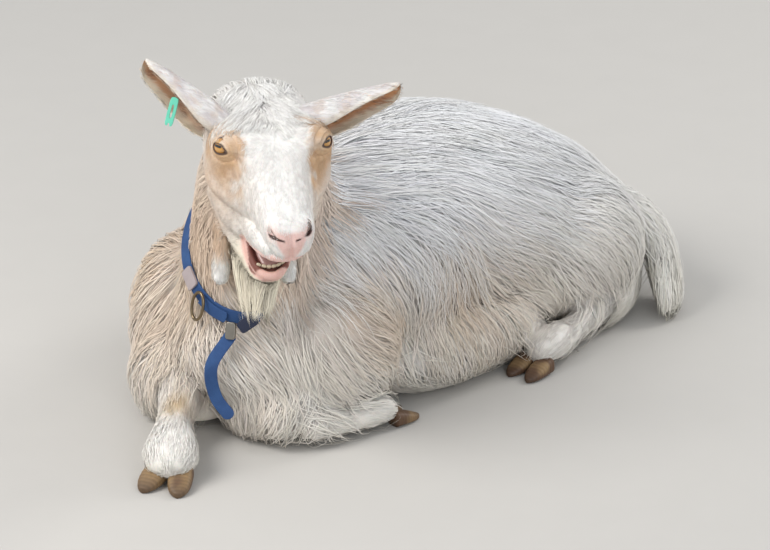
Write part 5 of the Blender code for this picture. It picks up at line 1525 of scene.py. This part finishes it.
def ovalWire(name, centre, normal, longWay, radii, wire):
    # Round wire bent into an ellipse.
    n = unit(normal)
    a = unit(np.asarray(longWay, float) - n * (n @ np.asarray(longWay, float)))
    b = np.cross(n, a)
    u = np.linspace(0, 2 * math.pi, 96, endpoint=False)[:, None]
    v = np.linspace(0, 2 * math.pi, 20, endpoint=False)[None]
    middle = np.asarray(centre) + np.cos(u) * a * radii[0] + np.sin(u) * b * radii[1]
    out = unit(np.cos(u) * a / radii[0] + np.sin(u) * b / radii[1])
    verts = middle[:, None] + out[:, None] * (np.cos(v) * wire)[..., None] + n * (np.sin(v) * wire)[..., None]
    return faceOut(makeObject(name, verts.reshape(-1, 3), ringFaces(96, 20, loop=True)))


dress(ovalWire("collarRing", (0.2, -32.6, 15.6), (-0.25, -0.95, 0.2), (0.1, 0.1, 1.0), (1.55, 1.0), 0.17),
      plainLook("bronzeRing", collar["bronze"], 0.32, 1.0), "metal", "collar_ring")
buckleOut = unit((0.40, -0.86, 0.32))
buckleSide = unit(np.cross((0, 0, 1.0), buckleOut))
buckleDown = np.cross(buckleSide, buckleOut)
dress(blockMesh("collarBuckle", (4.7, -32.4, 13.9), (buckleSide, buckleDown, buckleOut), (0.56, 0.95, 0.28), 5.0),
      plainLook("steelBuckle", collar["steel"], 0.35, 1.0), "metal", "collar_buckle")
keeperOut = unit((0.55, -0.78, 0.30))
keeperAlong = unit(np.cross((0, 0, 1.0), keeperOut) + np.array([0, 0, 0.75]))
dress(blockMesh("collarKeeper", (6.3, -31.4, 14.9), (keeperAlong, np.cross(keeperOut, keeperAlong), keeperOut),
                (1.2, 0.7, 0.2), 5.0), plainLook("navyKeeper", collar["navy"], 0.55, 0.0), "dark", "collar_keeper")

tagLook = Look("tagPlastic", rough=0.32, Coat_Weight=0.3)
tagLook.feed(Base_Color=tagLook.mix(tagLook.noise(160.0, 3.0), linear(92, 196, 168), linear(120, 214, 186)))
tag = frame["nodes"]["ear_tag"]
tag.data.materials.clear()
tag.data.materials.append(tagLook.material)

print("stage: hooves")
hooves = {
    # Root, tip, half width, height at the root.
    "claw_fore_right_out": ((3.6, -42.9), (4.6, -47.0), 1.35, 2.2),
    "claw_fore_right_in": ((6.1, -42.3), (8.3, -45.6), 1.3, 2.2),
    "claw_fore_left_out": ((14.9, -17.3), (15.6, -13.8), 1.05, 1.8),
    "claw_fore_left_in": ((12.6, -17.0), (12.9, -13.5), 1.05, 1.8),
    "claw_hind_left_out": ((19.4, 4.4), (19.6, 0.6), 1.1, 1.9),
    "claw_hind_left_in": ((17.0, 4.4), (17.0, 0.6), 1.1, 1.9),
    "claw_hind_right_out": ((-18.4, 3.4), (-18.8, -0.4), 1.1, 1.9),
    "claw_hind_right_in": ((-16.0, 3.4), (-16.2, -0.4), 1.1, 1.9),
}
hornTones = (linear(96, 70, 50), linear(168, 140, 98), linear(60, 44, 34))  # base, pale clouds, toe


def makeHoof(name, rootSpot, tipSpot, half, high):
    # Flat below; the wall slopes down to a rounded toe, with low rings of growth.
    root, tip = np.array(rootSpot), np.array(tipSpot)
    length = np.linalg.norm(tip - root)
    axis = (tip - root) / length
    side = np.array([-axis[1], axis[0]])
    t = np.sin(np.linspace(0, math.pi / 2, 56))
    wide = half * np.sqrt(np.clip(1 - np.clip((t - 0.35) / 0.655, 0, 1) ** 2.2, 0.0, 1))
    top = high * (1 - 0.72 * t ** 1.3)
    rings = 0.02 * np.sin(t * 46) * (1 - t)
    ang = np.linspace(0, 2 * math.pi, 48, endpoint=False)
    cx = signedPower(np.cos(ang), 0.7)
    cz = 0.5 + 0.5 * signedPower(np.sin(ang), 0.7)
    middle = root + axis * (t * length)[:, None]
    xy = middle[:, None] + side * ((wide + rings)[:, None] * cx)[..., None]
    z = 0.03 + (top + rings)[:, None] * cz[None]
    hoof = closedRings(name, np.concatenate([xy, z[..., None]], -1))
    p = readVerts(hoof)
    run = (p[:, :2] - root) @ axis / length
    tone = flatColour(hornTones[0], len(p))
    tone = mixColour(tone, hornTones[1], 0.75 * smooth(ripples(p, 1.2, 21), 0.35, 0.8) * (1 - 0.6 * run.clip(0, 1)))
    tone = mixColour(tone, hornTones[2], 0.5 * smooth(run, 0.6, 1.0))
    paintTone(hoof, tone * (1 + 0.12 * np.sin(run * 60))[:, None])
    return hoof


def hornLook():
    # Painted rings under a fine grain, which is also the bump.
    look = Look("horn", rough=0.55)
    grain = look.noise(400.0, 4.0)
    look.bump(grain, 0.3, 0.0005)
    return look.shade(grain.above(0.4, 0.7) * 0.3, (0.7, 0.66, 0.6))


horn = hornLook()
for name, row in hooves.items():
    dress(makeHoof("hoof" + name[4:].title().replace("_", ""), *row), horn, "horn", name)

print("stage: coat")


def eyeClear(p):
    # 0 over the eyes and their lids, 1 away from them.
    clear = np.ones(len(p))
    for side in (-1, 1):
        local = (p - eyeCentres[side]) @ eyeAxes(side).T
        ring = np.hypot(local[:, 0] / 1.6, local[:, 1] / 1.15)
        clear *= np.where(local[:, 2] > 0, smooth(ring, 0.9, 1.1), 1)
    return clear


def pickRoots(rng, density):
    # Random places on the skin, as many to a square centimetre as density says for each face.
    weight = triArea * density
    count = int(weight.sum())
    pick = rng.choice(len(triArea), count, p=weight / weight.sum())
    a, b = rng.random((2, count, 1))
    over = a + b > 1
    a, b = np.where(over, 1 - a, a), np.where(over, 1 - b, b)
    t = triangles[pick]
    w = np.concatenate([1 - a - b, a, b], 1)[..., None]
    place = (skinPoints[t] * w).sum(1)
    normal = unit((skinNormals[t] * w).sum(1))
    way = unit((lieField[t] * w).sum(1))
    way = unit(way - normal * (way * normal).sum(1)[:, None])
    return place, normal, way, triLabels[pick], bareHere[t].max(1)


def lyingGuides(place, normal, way, length, points):
    # Guides that step along the skin in the lie of the coat.
    spots, now, heading = [place], place, way
    for _ in range(points - 1):
        now, out, face = nearSkin(now + heading * (length / (points - 1))[:, None])
        heading = unit(0.55 * heading + 0.45 * triLie[face])
        heading = unit(heading - out * (heading * out).sum(1)[:, None])
        spots.append(now)
    return np.array(spots)


def fallingGuides(place, normal, way, length, points):
    # Guides that leave the skin and turn down in a few steps.
    spots, now, heading = [place], place, unit(way + normal * 0.5)
    middle = place.mean(0)
    for _ in range(points - 1):
        heading = unit(0.5 * heading + np.array([0, 0, -0.5]) + (middle - now) * (0.045, 0.045, 0))
        now = now + heading * (length / (points - 1))[:, None]
        spots.append(now)
    return np.array(spots)


def frontGuides(place, normal, way, length, points):
    # Guides over the skin of the brow, forward and out to both sides of the parting.
    spots, now = [place], place
    for _ in range(points - 1):
        h = inHead(now)
        side = np.tanh((h[:, 0] + 0.3) / 0.4)
        heading = np.stack([0.32 * side + 0.07 * h[:, 0], 0.9 + 0 * side, 0 * side], -1) @ headAxes
        now, out, _ = nearSkin(now + heading * (length / (points - 1))[:, None])
        spots.append(now)
    return np.array(spots)


bandTree = KDTree(len(bandPoints))
for k, spot in enumerate(bandPoints):
    bandTree.insert(spot, k)
bandTree.balance()
bandFlat, bandNormal, _ = nearSkin(bandPoints)
bandLevel = around(((bandPoints - bandFlat) * bandNormal).sum(1), 4)


def bandLimits(points, buried):
    # How low and how high hair may lie over the skin near the collar: over the buried side, under the open one.
    near = np.full(len(points), 9.0)
    level = np.zeros(len(points))
    close = np.nonzero(np.linalg.norm(points - np.array(collar["centre"]), axis=1) < 16)[0]
    for k in close:
        _, i, near[k] = bandTree.find(points[k])
        level[k] = bandLevel[i]
    at = np.exp(-(near / 1.25) ** 4)
    cover = np.maximum(bandCover(points), buried)
    low = at * cover * (level + 0.5)
    high = np.where((at > 0.3) & (cover < 0.5), np.maximum(level - 0.35, 0.05), 9.0)
    return low, high


charts = {
    "trunk": (0.0, 0.0, 0.6, 1.0), "neck": (0.62, 0.0, 0.8, 0.3), "head": (0.62, 0.32, 1.0, 0.7),
    "earRight": (0.62, 0.72, 0.8, 0.85), "earLeft": (0.82, 0.72, 1.0, 0.85), "wattle": (0.82, 0.0, 0.9, 0.1),
    "tail": (0.82, 0.12, 1.0, 0.3), "leg": (0.62, 0.87, 1.0, 1.0),
}


def unwrap(p, labels):
    # The skin unrolled: angle round the region's own axis against the way along it, each region in its own field.
    uv = np.zeros((len(p), 2))
    h = inHead(p)
    turn = {
        "trunk": (np.arctan2(p[:, 0], p[:, 2] - 8), (p[:, 1] + 46) / 84),
        "neck": (np.arctan2(p[:, 0] - 1.2, -(p[:, 1] + 25)), p[:, 2] / 40),
        "head": (np.arctan2(h[:, 0], h[:, 2] + 1.5), (h[:, 1] + 4) / 26),
        "tail": (np.arctan2(p[:, 0] - 16, p[:, 2] - 6), (p[:, 1] - 18) / 16),
        "leg": (np.arctan2(p[:, 0], p[:, 2] - 2), (p[:, 1] + 48) / 80),
        "wattle": (np.arctan2(p[:, 0] - 5, p[:, 1] + 29), (p[:, 2] - 15) / 12),
    }
    for side, name in earNames.items():
        base, tip, axis, face = earBase(side)
        rel = p - base
        turn[name] = (np.arctan2(rel @ np.cross(axis, face), rel @ face), (rel @ axis) / 14)
    for name, (u0, v0, u1, v1) in charts.items():
        pick = labels == labelOf[name]
        ang, along = turn[name]
        uv[pick, 0] = u0 + (u1 - u0) * (0.02 + 0.96 * (ang[pick] + math.pi) / (2 * math.pi))
        uv[pick, 1] = v0 + (v1 - v0) * (0.02 + 0.96 * np.clip(along[pick], 0, 1))
    return uv


coatHair = Look("goatCoat", rough=0.5, Specular_IOR_Level=0.3)
coatMaterial = coatHair.shade(coatHair.noise(620.0, 2.0).above(0.3, 0.8) * 0.2, (0.9, 0.87, 0.84))


def tuftMesh(name, path, out, width, thick, tones, labels, sheen):
    # Each tuft is a closed wedge: a flat three-cornered section that thins to a point at its tip.
    points, count, _ = path.shape
    along = np.linspace(0, 1, points)[:-1, None]
    tang = unit(np.gradient(path, axis=0))
    flat = unit(out - tang * (out * tang).sum(-1, keepdims=True))
    side = np.cross(tang, flat)
    taper = (np.minimum(1.0, 0.55 + 2.2 * along) * (1 - along ** 2.4) ** 0.8)[..., None]
    w = 0.5 * width[None, :, None] * taper
    t = thick[None, :, None] * taper
    body = path[:-1]
    sect = np.stack([body - side[:-1] * w, body + side[:-1] * w, body + flat[:-1] * t], 2)
    verts = np.concatenate([sect.transpose(1, 0, 2, 3).reshape(count, -1, 3), path[-1][:, None]], 1)
    per = verts.shape[1]
    faces = []
    for i in range(points - 2):
        for j in range(3):
            k = (j + 1) % 3
            a, b, c, d = i * 3 + j, i * 3 + k, i * 3 + 3 + k, i * 3 + 3 + j
            faces += [(a, b, c), (a, c, d)]
    top = (points - 2) * 3
    faces += [(top + j, top + (j + 1) % 3, per - 1) for j in range(3)] + [(0, 2, 1)]
    faces = np.array(faces)[:, ::-1]
    allFaces = (faces[None] + (np.arange(count) * per)[:, None, None]).reshape(-1, 3)
    obj = makeObject(name, verts.reshape(-1, 3), allFaces)
    # Light falls on a tuft nearly as on the coat under it, with a small turn of its own.
    lean = side * sheen[None, :, None] + out
    turned = np.stack([lean - side * 0.25, lean + side * 0.25, lean], 2)[:-1]
    turned = np.concatenate([turned.transpose(1, 0, 2, 3).reshape(count, -1, 3), lean[-1][:, None]], 1)
    obj.data.normals_split_custom_set_from_vertices(unit(turned.reshape(-1, 3)))
    colours = np.concatenate([np.repeat(tones[:-1].transpose(1, 0, 2), 3, 1), tones[-1][:, None]], 1)
    paintTone(obj, np.clip(colours, 0, 1).reshape(-1, 3))
    tAlong = np.concatenate([np.repeat(np.linspace(0, 1, points)[:-1], 3), [1.0]])
    across = np.concatenate([np.tile([0.0, 1.0, 0.5], points - 1), [0.5]])
    local = np.stack([across, tAlong], -1) * 0.003
    uv = (unwrap(path[0], labels)[:, None] + local[None]).reshape(-1, 2)
    layer = obj.data.uv_layers.new(name="OFBake")
    layer.data.foreach_set("uv", uv[allFaces.ravel()].astype(np.float32).ravel())
    return dress(obj, coatMaterial, "coat")


def profile(t):
    # Height of a lying tuft over the skin along its length: up from the root, then down again.
    return 0.08 + 2.4 * t - 1.75 * t ** 2


def growCoat(seed, plan):
    # Tufts in locks: a guide runs from each lock's middle, and its tufts keep to it, closer at their tips.
    rng = np.random.default_rng(seed)
    place, normal, way, labels, bareAt = pickRoots(rng, plan["where"](triPlace, triLabels) * plan["locks"] * share)
    keep = (bareAt < 0.5) & (eyeClear(place) > 0.5)
    place, normal, way, labels = place[keep], normal[keep], way[keep], labels[keep]
    points, each = plan["points"], plan["each"]
    reach = plan["length"](place) * rng.uniform(*plan.get("vary", (0.75, 1.2)), len(place))
    guide = plan.get("guide", lyingGuides)(place, normal, way, reach, points)
    own = np.repeat(np.arange(len(place)), each)
    count = len(own)
    t = np.linspace(0, 1, points)[:, None]
    heading = unit(np.gradient(guide, axis=0))
    side = unit(np.cross(heading, normal[None]))
    across, along = rng.normal(0, plan["spread"], (2, count))
    offset = side[0][own] * across[:, None] + way[own] * along[:, None] * 1.3
    stretch = rng.uniform(0.72, 1.1, count)[None, :, None]
    pull = rng.uniform(*plan["gather"], len(place))[own][None] * t ** 1.2
    path = guide[0][own] + (guide[:, own] - guide[0][own]) * stretch + offset * (1 - pull)[..., None]
    phase = rng.uniform(0, 2 * math.pi, len(place))[own] + rng.normal(0, 0.5, count)
    wave = plan["wave"] * np.sin(2 * math.pi * plan.get("curls", 1.1) * t + phase) * t
    wild = rng.normal(0, plan["wild"], count) * t ** 1.6
    wild = wild + rng.normal(0, 0.5 * plan["wild"], count) * np.sin(math.pi * t)
    path = path + side[:, own] * ((wave + wild) * reach[own])[..., None]
    flat, out, face = nearSkin(path.reshape(-1, 3))
    flat, out = flat.reshape(path.shape), out.reshape(path.shape)
    under = triLabels[face].reshape(path.shape[:2])
    level = ((path - flat) * out).sum(-1)
    lift = plan["lift"](place)[own]
    rise = lift * rng.uniform(0.75, 1.15, len(place))[own] * rng.uniform(0.8, 1.1, count) * profile(t)
    rise[0] = -0.1
    low, high = bandLimits(path.reshape(-1, 3), plan.get("buried", 0.0))
    rise = np.clip(rise, low.reshape(rise.shape), high.reshape(rise.shape))
    hangs = plan.get("guide") is fallingGuides
    if hangs:
        free = path - path.mean(1, keepdims=True)
        free = unit(unit(free * (1, 1, 0.0) + 1e-6) + np.array([0.25, -0.45, 0.5]))
        blend = smooth(t, 0.05, 0.35)[..., None]
        out = unit(out * (1 - blend) + free * blend)
    path = path + out * (np.maximum(rise - level, 0) if hangs else rise - level)[..., None]
    path[..., 2] = np.maximum(path[..., 2], 0.1 + 0.3 * rng.random(count))
    lockTone = rng.normal(1.0, plan.get("lockTone", 0.035), len(place))[own] * rng.uniform(*plan["tone"], count)
    base = coatColour(place, labels)[own]
    base = mixColour(base, plan.get("colour", coat["cream"]), plan.get("tint", lambda p: 0 * p[:, 0])(place)[own])
    # Each tuft is darker at its root and lightens over its first half: painted shade deep in the coat.
    tones = base[None] * (lockTone[None, :] * (0.93 + 0.1 * smooth(t, 0.0, 0.5)))[..., None]
    tones = tones * (1 + rng.normal(0, 0.01, (count, 3)))[None]
    tipTint = plan.get("tips", 0.0) * t ** 1.5 * rng.uniform(0.3, 1.0, len(place))[own]
    tones = tones * (1 - tipTint[..., None]) + coat["tip"] * tipTint[..., None]
    w = plan["width"] * rng.uniform(0.65, 1.3, count)
    turn = rng.normal(0, plan.get("sheen", 0.16), count)
    # A tuft that leaps from one form to another, spans a gap or folds back is left out.
    step = np.diff(path, axis=0)
    fine = np.linalg.norm(step, axis=-1).max(0) < 2.0 * reach[own] / (points - 1)
    fine &= hangs | ((unit(step[1:]) * unit(step[:-1])).sum(-1).min(0) > 0.35)
    cross = np.nonzero(fine & (under != under[0]).any(0) & (not hangs))[0]
    middle = (0.5 * (path[1:, cross] + path[:-1, cross])).reshape(-1, 3)
    gap = np.linalg.norm(middle - nearSkin(middle)[0], axis=1).reshape(points - 1, -1).max(0)
    fine[cross] = gap < lift[cross] + 0.5
    return path[:, fine], out[:, fine], w[fine], w[fine] * 0.35, tones[:, fine], labels[own][fine], turn[fine]


mostTriangles = 196000


def coatPieces(name, arrays):
    # Pieces of fewer than 200,000 triangles, from the front to the back.
    path, out, w, t, tones, labels, sheen = arrays
    points, count, _ = path.shape
    each = (points - 2) * 6 + 4
    order = np.argsort(path[0][:, 1], kind="stable")
    parts = max(1, math.ceil(count / int(mostTriangles / each)))
    for k, pick in enumerate(np.array_split(order, parts)):
        tuftMesh(name + (str(k + 1) if parts > 1 else ""), path[:, pick], out[:, pick], w[pick], t[pick],
                 tones[:, pick], labels[pick], sheen[pick])
    print(name, count, "tufts", count * each, "triangles in", parts)


def lidHair(name, seed, count=800, lashes=40):
    # Short hair on the lids in the lie of the face, and pale lashes on the upper rim.
    rng = np.random.default_rng(seed)
    parts = []
    for side in (-1, 1):
        sheet = lidSheets[side]
        rows, steps, _ = sheet.shape
        for lies, many, low, high, size, wide in ((True, count, 5, steps - 2, 0.34, 0.036),
                                                  (False, lashes, 2, 3, 0.5, 0.02)):
            i = rng.integers(0, rows, many) if lies else rng.integers(4, rows // 2 - 4, many)
            j = rng.integers(low, high, many)
            root = sheet[i, j] + rng.normal(0, 0.02, (many, 3))
            du = sheet[(i + 1) % rows, j] - sheet[i - 1, j]
            dv = sheet[i, np.minimum(j + 1, steps - 1)] - sheet[i, j - 1]
            out = unit(np.cross(du, dv))
            out = out * np.sign((out * axesOut(side)).sum(1))[:, None]
            way = unit(headLie(root) + unit(dv)) if lies else unit(dv) * 0.5 + out * 1.2
            way = unit(way + rng.normal(0, 0.2, (many, 3)))
            if lies:
                way = unit(way - out * (way * out).sum(1)[:, None])
            t = np.linspace(0, 1, 3)[:, None, None]
            reach = size * rng.uniform(0.7, 1.2, many)[:, None]
            path = root + way * reach * t + out * (0.05 * profile(t) - 0.03 if lies else -0.1 * t ** 2)
            tone = coatColour(root, np.full(many, labelOf["head"])) * rng.uniform(0.9, 1.1, many)[:, None]
            tone = tone if lies else flatColour(coat["lash"], many)
            width = wide * rng.uniform(0.7, 1.2, many)
            parts.append((path, np.repeat(out[None], 3, 0), width, np.repeat(tone[None], 3, 0)))
    path, out, w, tones = (np.concatenate(v, axis=-1 if v[0].ndim == 1 else 1) for v in zip(*parts))
    coatPieces(name, (path, out, w, w * 0.4, tones, np.full(len(w), labelOf["head"]), rng.normal(0, 0.08, len(w))))


def only(*names):
    # Roots on all of the named forms.
    ids = [labelOf[n] for n in names]
    return lambda p, labels: np.isin(labels, ids).astype(float)


def even(value):
    # The same measure everywhere.
    return lambda p: value + 0 * p[:, 0]


share = 1.0  # how much of the hair is grown
# A coat: locks to a square centimetre, tufts in each and points along them; centimetres for length, width, lift and
# spread; how far tips gather; how far tufts wave and stray, as parts of their length.
trunkCoat = {
    "where": lambda p, labels: (labels == labelOf["trunk"]) * smooth(p[:, 2], 0.6, 2.0),
    "locks": 0.22,
    "each": 28,
    "points": 5,
    "length": lambda p: 7.0 + 3.5 * smooth(p[:, 1], -24, -6),
    "width": 0.088,
    "lift": even(1.1),
    "spread": 1.3,
    "gather": (0.0, 0.6),
    "wave": 0.03,
    "wild": 0.04,
    "tone": (0.93, 1.07),
    "tips": 0.35,
}
coatPieces("coatTrunk", growCoat(11, trunkCoat))
neckCoat = {
    "where": only("neck"),
    "locks": 0.55,
    "each": 26,
    "points": 5,
    "length": even(3.4),
    "width": 0.08,
    "lift": even(0.5),
    "spread": 0.75,
    "gather": (0.05, 0.5),
    "wave": 0.03,
    "wild": 0.035,
    "tone": (0.93, 1.07),
}
coatPieces("coatNeck", growCoat(12, neckCoat))


def maneRoots(p, labels):
    # The covered side of the neck and the shoulder, in a belt on both sides of the collar's plane.
    away = p - np.array(collar["centre"])
    rise = away @ unit(collar["normal"])
    body = np.isin(labels, [labelOf["neck"], labelOf["trunk"]])
    belt = body * bandCover(p + (1.8, 0, 0)) * smooth(rise, -1.0, 1.5) * (1 - smooth(rise, 7.0, 9.0))
    return belt * (np.linalg.norm(away, axis=1) < 15)


mane = {
    # Long hair of the neck's left side and nape, over the collar and on to the shoulder.
    "where": maneRoots,
    "locks": 0.7,
    "each": 28,
    "points": 6,
    "length": even(8.5),
    "width": 0.095,
    "lift": even(1.3),
    "spread": 0.8,
    "gather": (0.05, 0.6),
    "wave": 0.035,
    "wild": 0.035,
    "tone": (0.93, 1.07),
}
coatPieces("coatMane", growCoat(20, mane))


def faceLength(p):
    # Short on the face, longer on the cheeks and the throat and behind the poll, shorter again toward the nose.
    h = inHead(p)
    size = 0.65 + 0.5 * smooth(-h[:, 2], 0, 5) + 0.9 * smooth(-h[:, 2], 5, 8) * (1 - smooth(h[:, 1], 12, 16))
    size = size + 0.5 * smooth(-h[:, 1], -12, -7) * smooth(h[:, 2], 2, 5)
    return size * (1 - 0.4 * smooth(h[:, 1], 14, 19))


faceCoat = {
    "where": only("head"),
    "locks": 5.0,
    "each": 6,
    "points": 3,
    "length": faceLength,
    "width": 0.042,
    "lift": lambda p: 0.05 + 0.1 * smooth(-inHead(p)[:, 2], 2, 7),
    "spread": 0.2,
    "gather": (0.1, 0.4),
    "wave": 0.02,
    "wild": 0.05,
    "tone": (0.96, 1.04),
    "lockTone": 0.012,
    "sheen": 0.06,
}
coatPieces("coatFace", growCoat(13, faceCoat))
lidHair("coatLids", 21)


def forelockRoots(p, labels):
    # The top of the head between the ears, from the poll to the brow.
    h = inHead(p)
    top = (labels == labelOf["head"]) * (1 - smooth(h[:, 1], 5.5, 9.5)) * smooth(h[:, 2], -1.2, 0.6)
    return top * (1 - smooth(np.abs(h[:, 0]), 3.2, 5.4))


forelock = {
    # Long white hair of the poll that falls over the brow to both sides of its parting.
    "where": forelockRoots,
    "locks": 1.5,
    "each": 34,
    "points": 5,
    "guide": frontGuides,
    "length": lambda p: 4.6 - 2.4 * smooth(inHead(p)[:, 1], 3.0, 9.0),
    "width": 0.052,
    "lift": lambda p: 0.45 - 0.25 * smooth(inHead(p)[:, 1], 3.0, 9.0),
    "spread": 0.42,
    "gather": (0.0, 0.5),
    "wave": 0.03,
    "wild": 0.06,
    "tone": (0.97, 1.06),
    "lockTone": 0.03,
}
coatPieces("coatForelock", growCoat(18, forelock))


def napeRoots(p, labels):
    # The back of the head: behind the poll, and low behind the ears.
    h = inHead(p)
    behind = np.maximum(1 - smooth(h[:, 1], -0.5, 1.5), 1 - smooth(h[:, 2], -2.0, 0.5))
    return (labels == labelOf["head"]) * (1 - smooth(h[:, 1], 2.0, 4.5)) * behind


nape = {
    # Longer hair behind the poll and the ears that runs down over the neck.
    "where": napeRoots,
    "locks": 0.9,
    "each": 22,
    "points": 5,
    "length": even(5.4),
    "width": 0.075,
    "lift": even(0.7),
    "spread": 0.55,
    "gather": (0.0, 0.5),
    "wave": 0.03,
    "wild": 0.05,
    "tone": (0.95, 1.06),
}
coatPieces("coatNape", growCoat(22, nape))


def beardRoots(p, labels):
    # The underside of the jaw's front, on its right half.
    h = inHead(p)
    under = (labels == labelOf["head"]) * smooth(h[:, 1], 9.5, 11.5) * smooth(-h[:, 2], 8.2, 8.9)
    return under * (1 - smooth(h[:, 1], 18.4, 18.9)) * (1 - smooth(h[:, 0], 0.2, 1.0))


beard = {
    # From the chin and the right edge of the jaw, straight down into a few tips.
    "where": beardRoots,
    "locks": 1.1,
    "each": 66,
    "points": 6,
    "guide": fallingGuides,
    "length": lambda p: 5.0 + 6.0 * smooth(18.5 - inHead(p)[:, 1], 0, 4),
    "width": 0.06,
    "lift": even(0.3),
    "spread": 0.42,
    "gather": (0.3, 0.85),
    "wave": 0.02,
    "wild": 0.03,
    "vary": (0.6, 1.15),
    "buried": 1.0,
    "tone": (0.95, 1.07),
    "tint": even(0.6),
    "colour": linear(246, 238, 216),
}
coatPieces("coatBeard", growCoat(19, beard))


def earInside(p):
    # 1 in the cup of the nearer ear, 0 on its back.
    side = np.where(np.linalg.norm(p - earBase(-1)[0], axis=1) < np.linalg.norm(p - earBase(1)[0], axis=1), -1, 1)
    inner = np.zeros(len(p))
    for one in (-1, 1):
        inner[side == one] = earSpot(one, p[side == one])[1]
    return inner


earCoat = {
    "where": only("earRight", "earLeft"),
    "locks": 4.0,
    "each": 6,
    "points": 3,
    "length": lambda p: 0.55 + 0.5 * earInside(p),
    "width": 0.045,
    "lift": lambda p: 0.07 + 0.2 * earInside(p),
    "spread": 0.2,
    "gather": (0.1, 0.4),
    "wave": 0.02,
    "wild": 0.06,
    "tone": (0.93, 1.07),
    "sheen": 0.1,
}
coatPieces("coatEars", growCoat(14, earCoat))
legCoat = {
    "where": only("leg"),
    "locks": 1.3,
    "each": 11,
    "points": 3,
    "length": even(1.4),
    "width": 0.07,
    "lift": even(0.25),
    "spread": 0.35,
    "gather": (0.15, 0.5),
    "wave": 0.02,
    "wild": 0.05,
    "tone": (0.93, 1.07),
}
coatPieces("coatLegs", growCoat(15, legCoat))
tailCoat = {
    "where": only("tail"),
    "locks": 0.5,
    "each": 36,
    "points": 5,
    "length": even(8.5),
    "width": 0.1,
    "lift": even(1.0),
    "spread": 0.7,
    "gather": (0.15, 0.7),
    "wave": 0.04,
    "wild": 0.06,
    "tone": (0.93, 1.07),
    "tips": 0.5,
}
coatPieces("coatTail", growCoat(16, tailCoat))
wattleCoat = {
    "where": only("wattle"),
    "locks": 6.0,
    "each": 9,
    "points": 3,
    "length": even(0.9),
    "width": 0.05,
    "lift": even(0.22),
    "spread": 0.2,
    "gather": (0.1, 0.4),
    "wave": 0.03,
    "wild": 0.08,
    "buried": 1.0,
    "tone": (0.95, 1.06),
}
coatPieces("coatWattles", growCoat(17, wattleCoat))
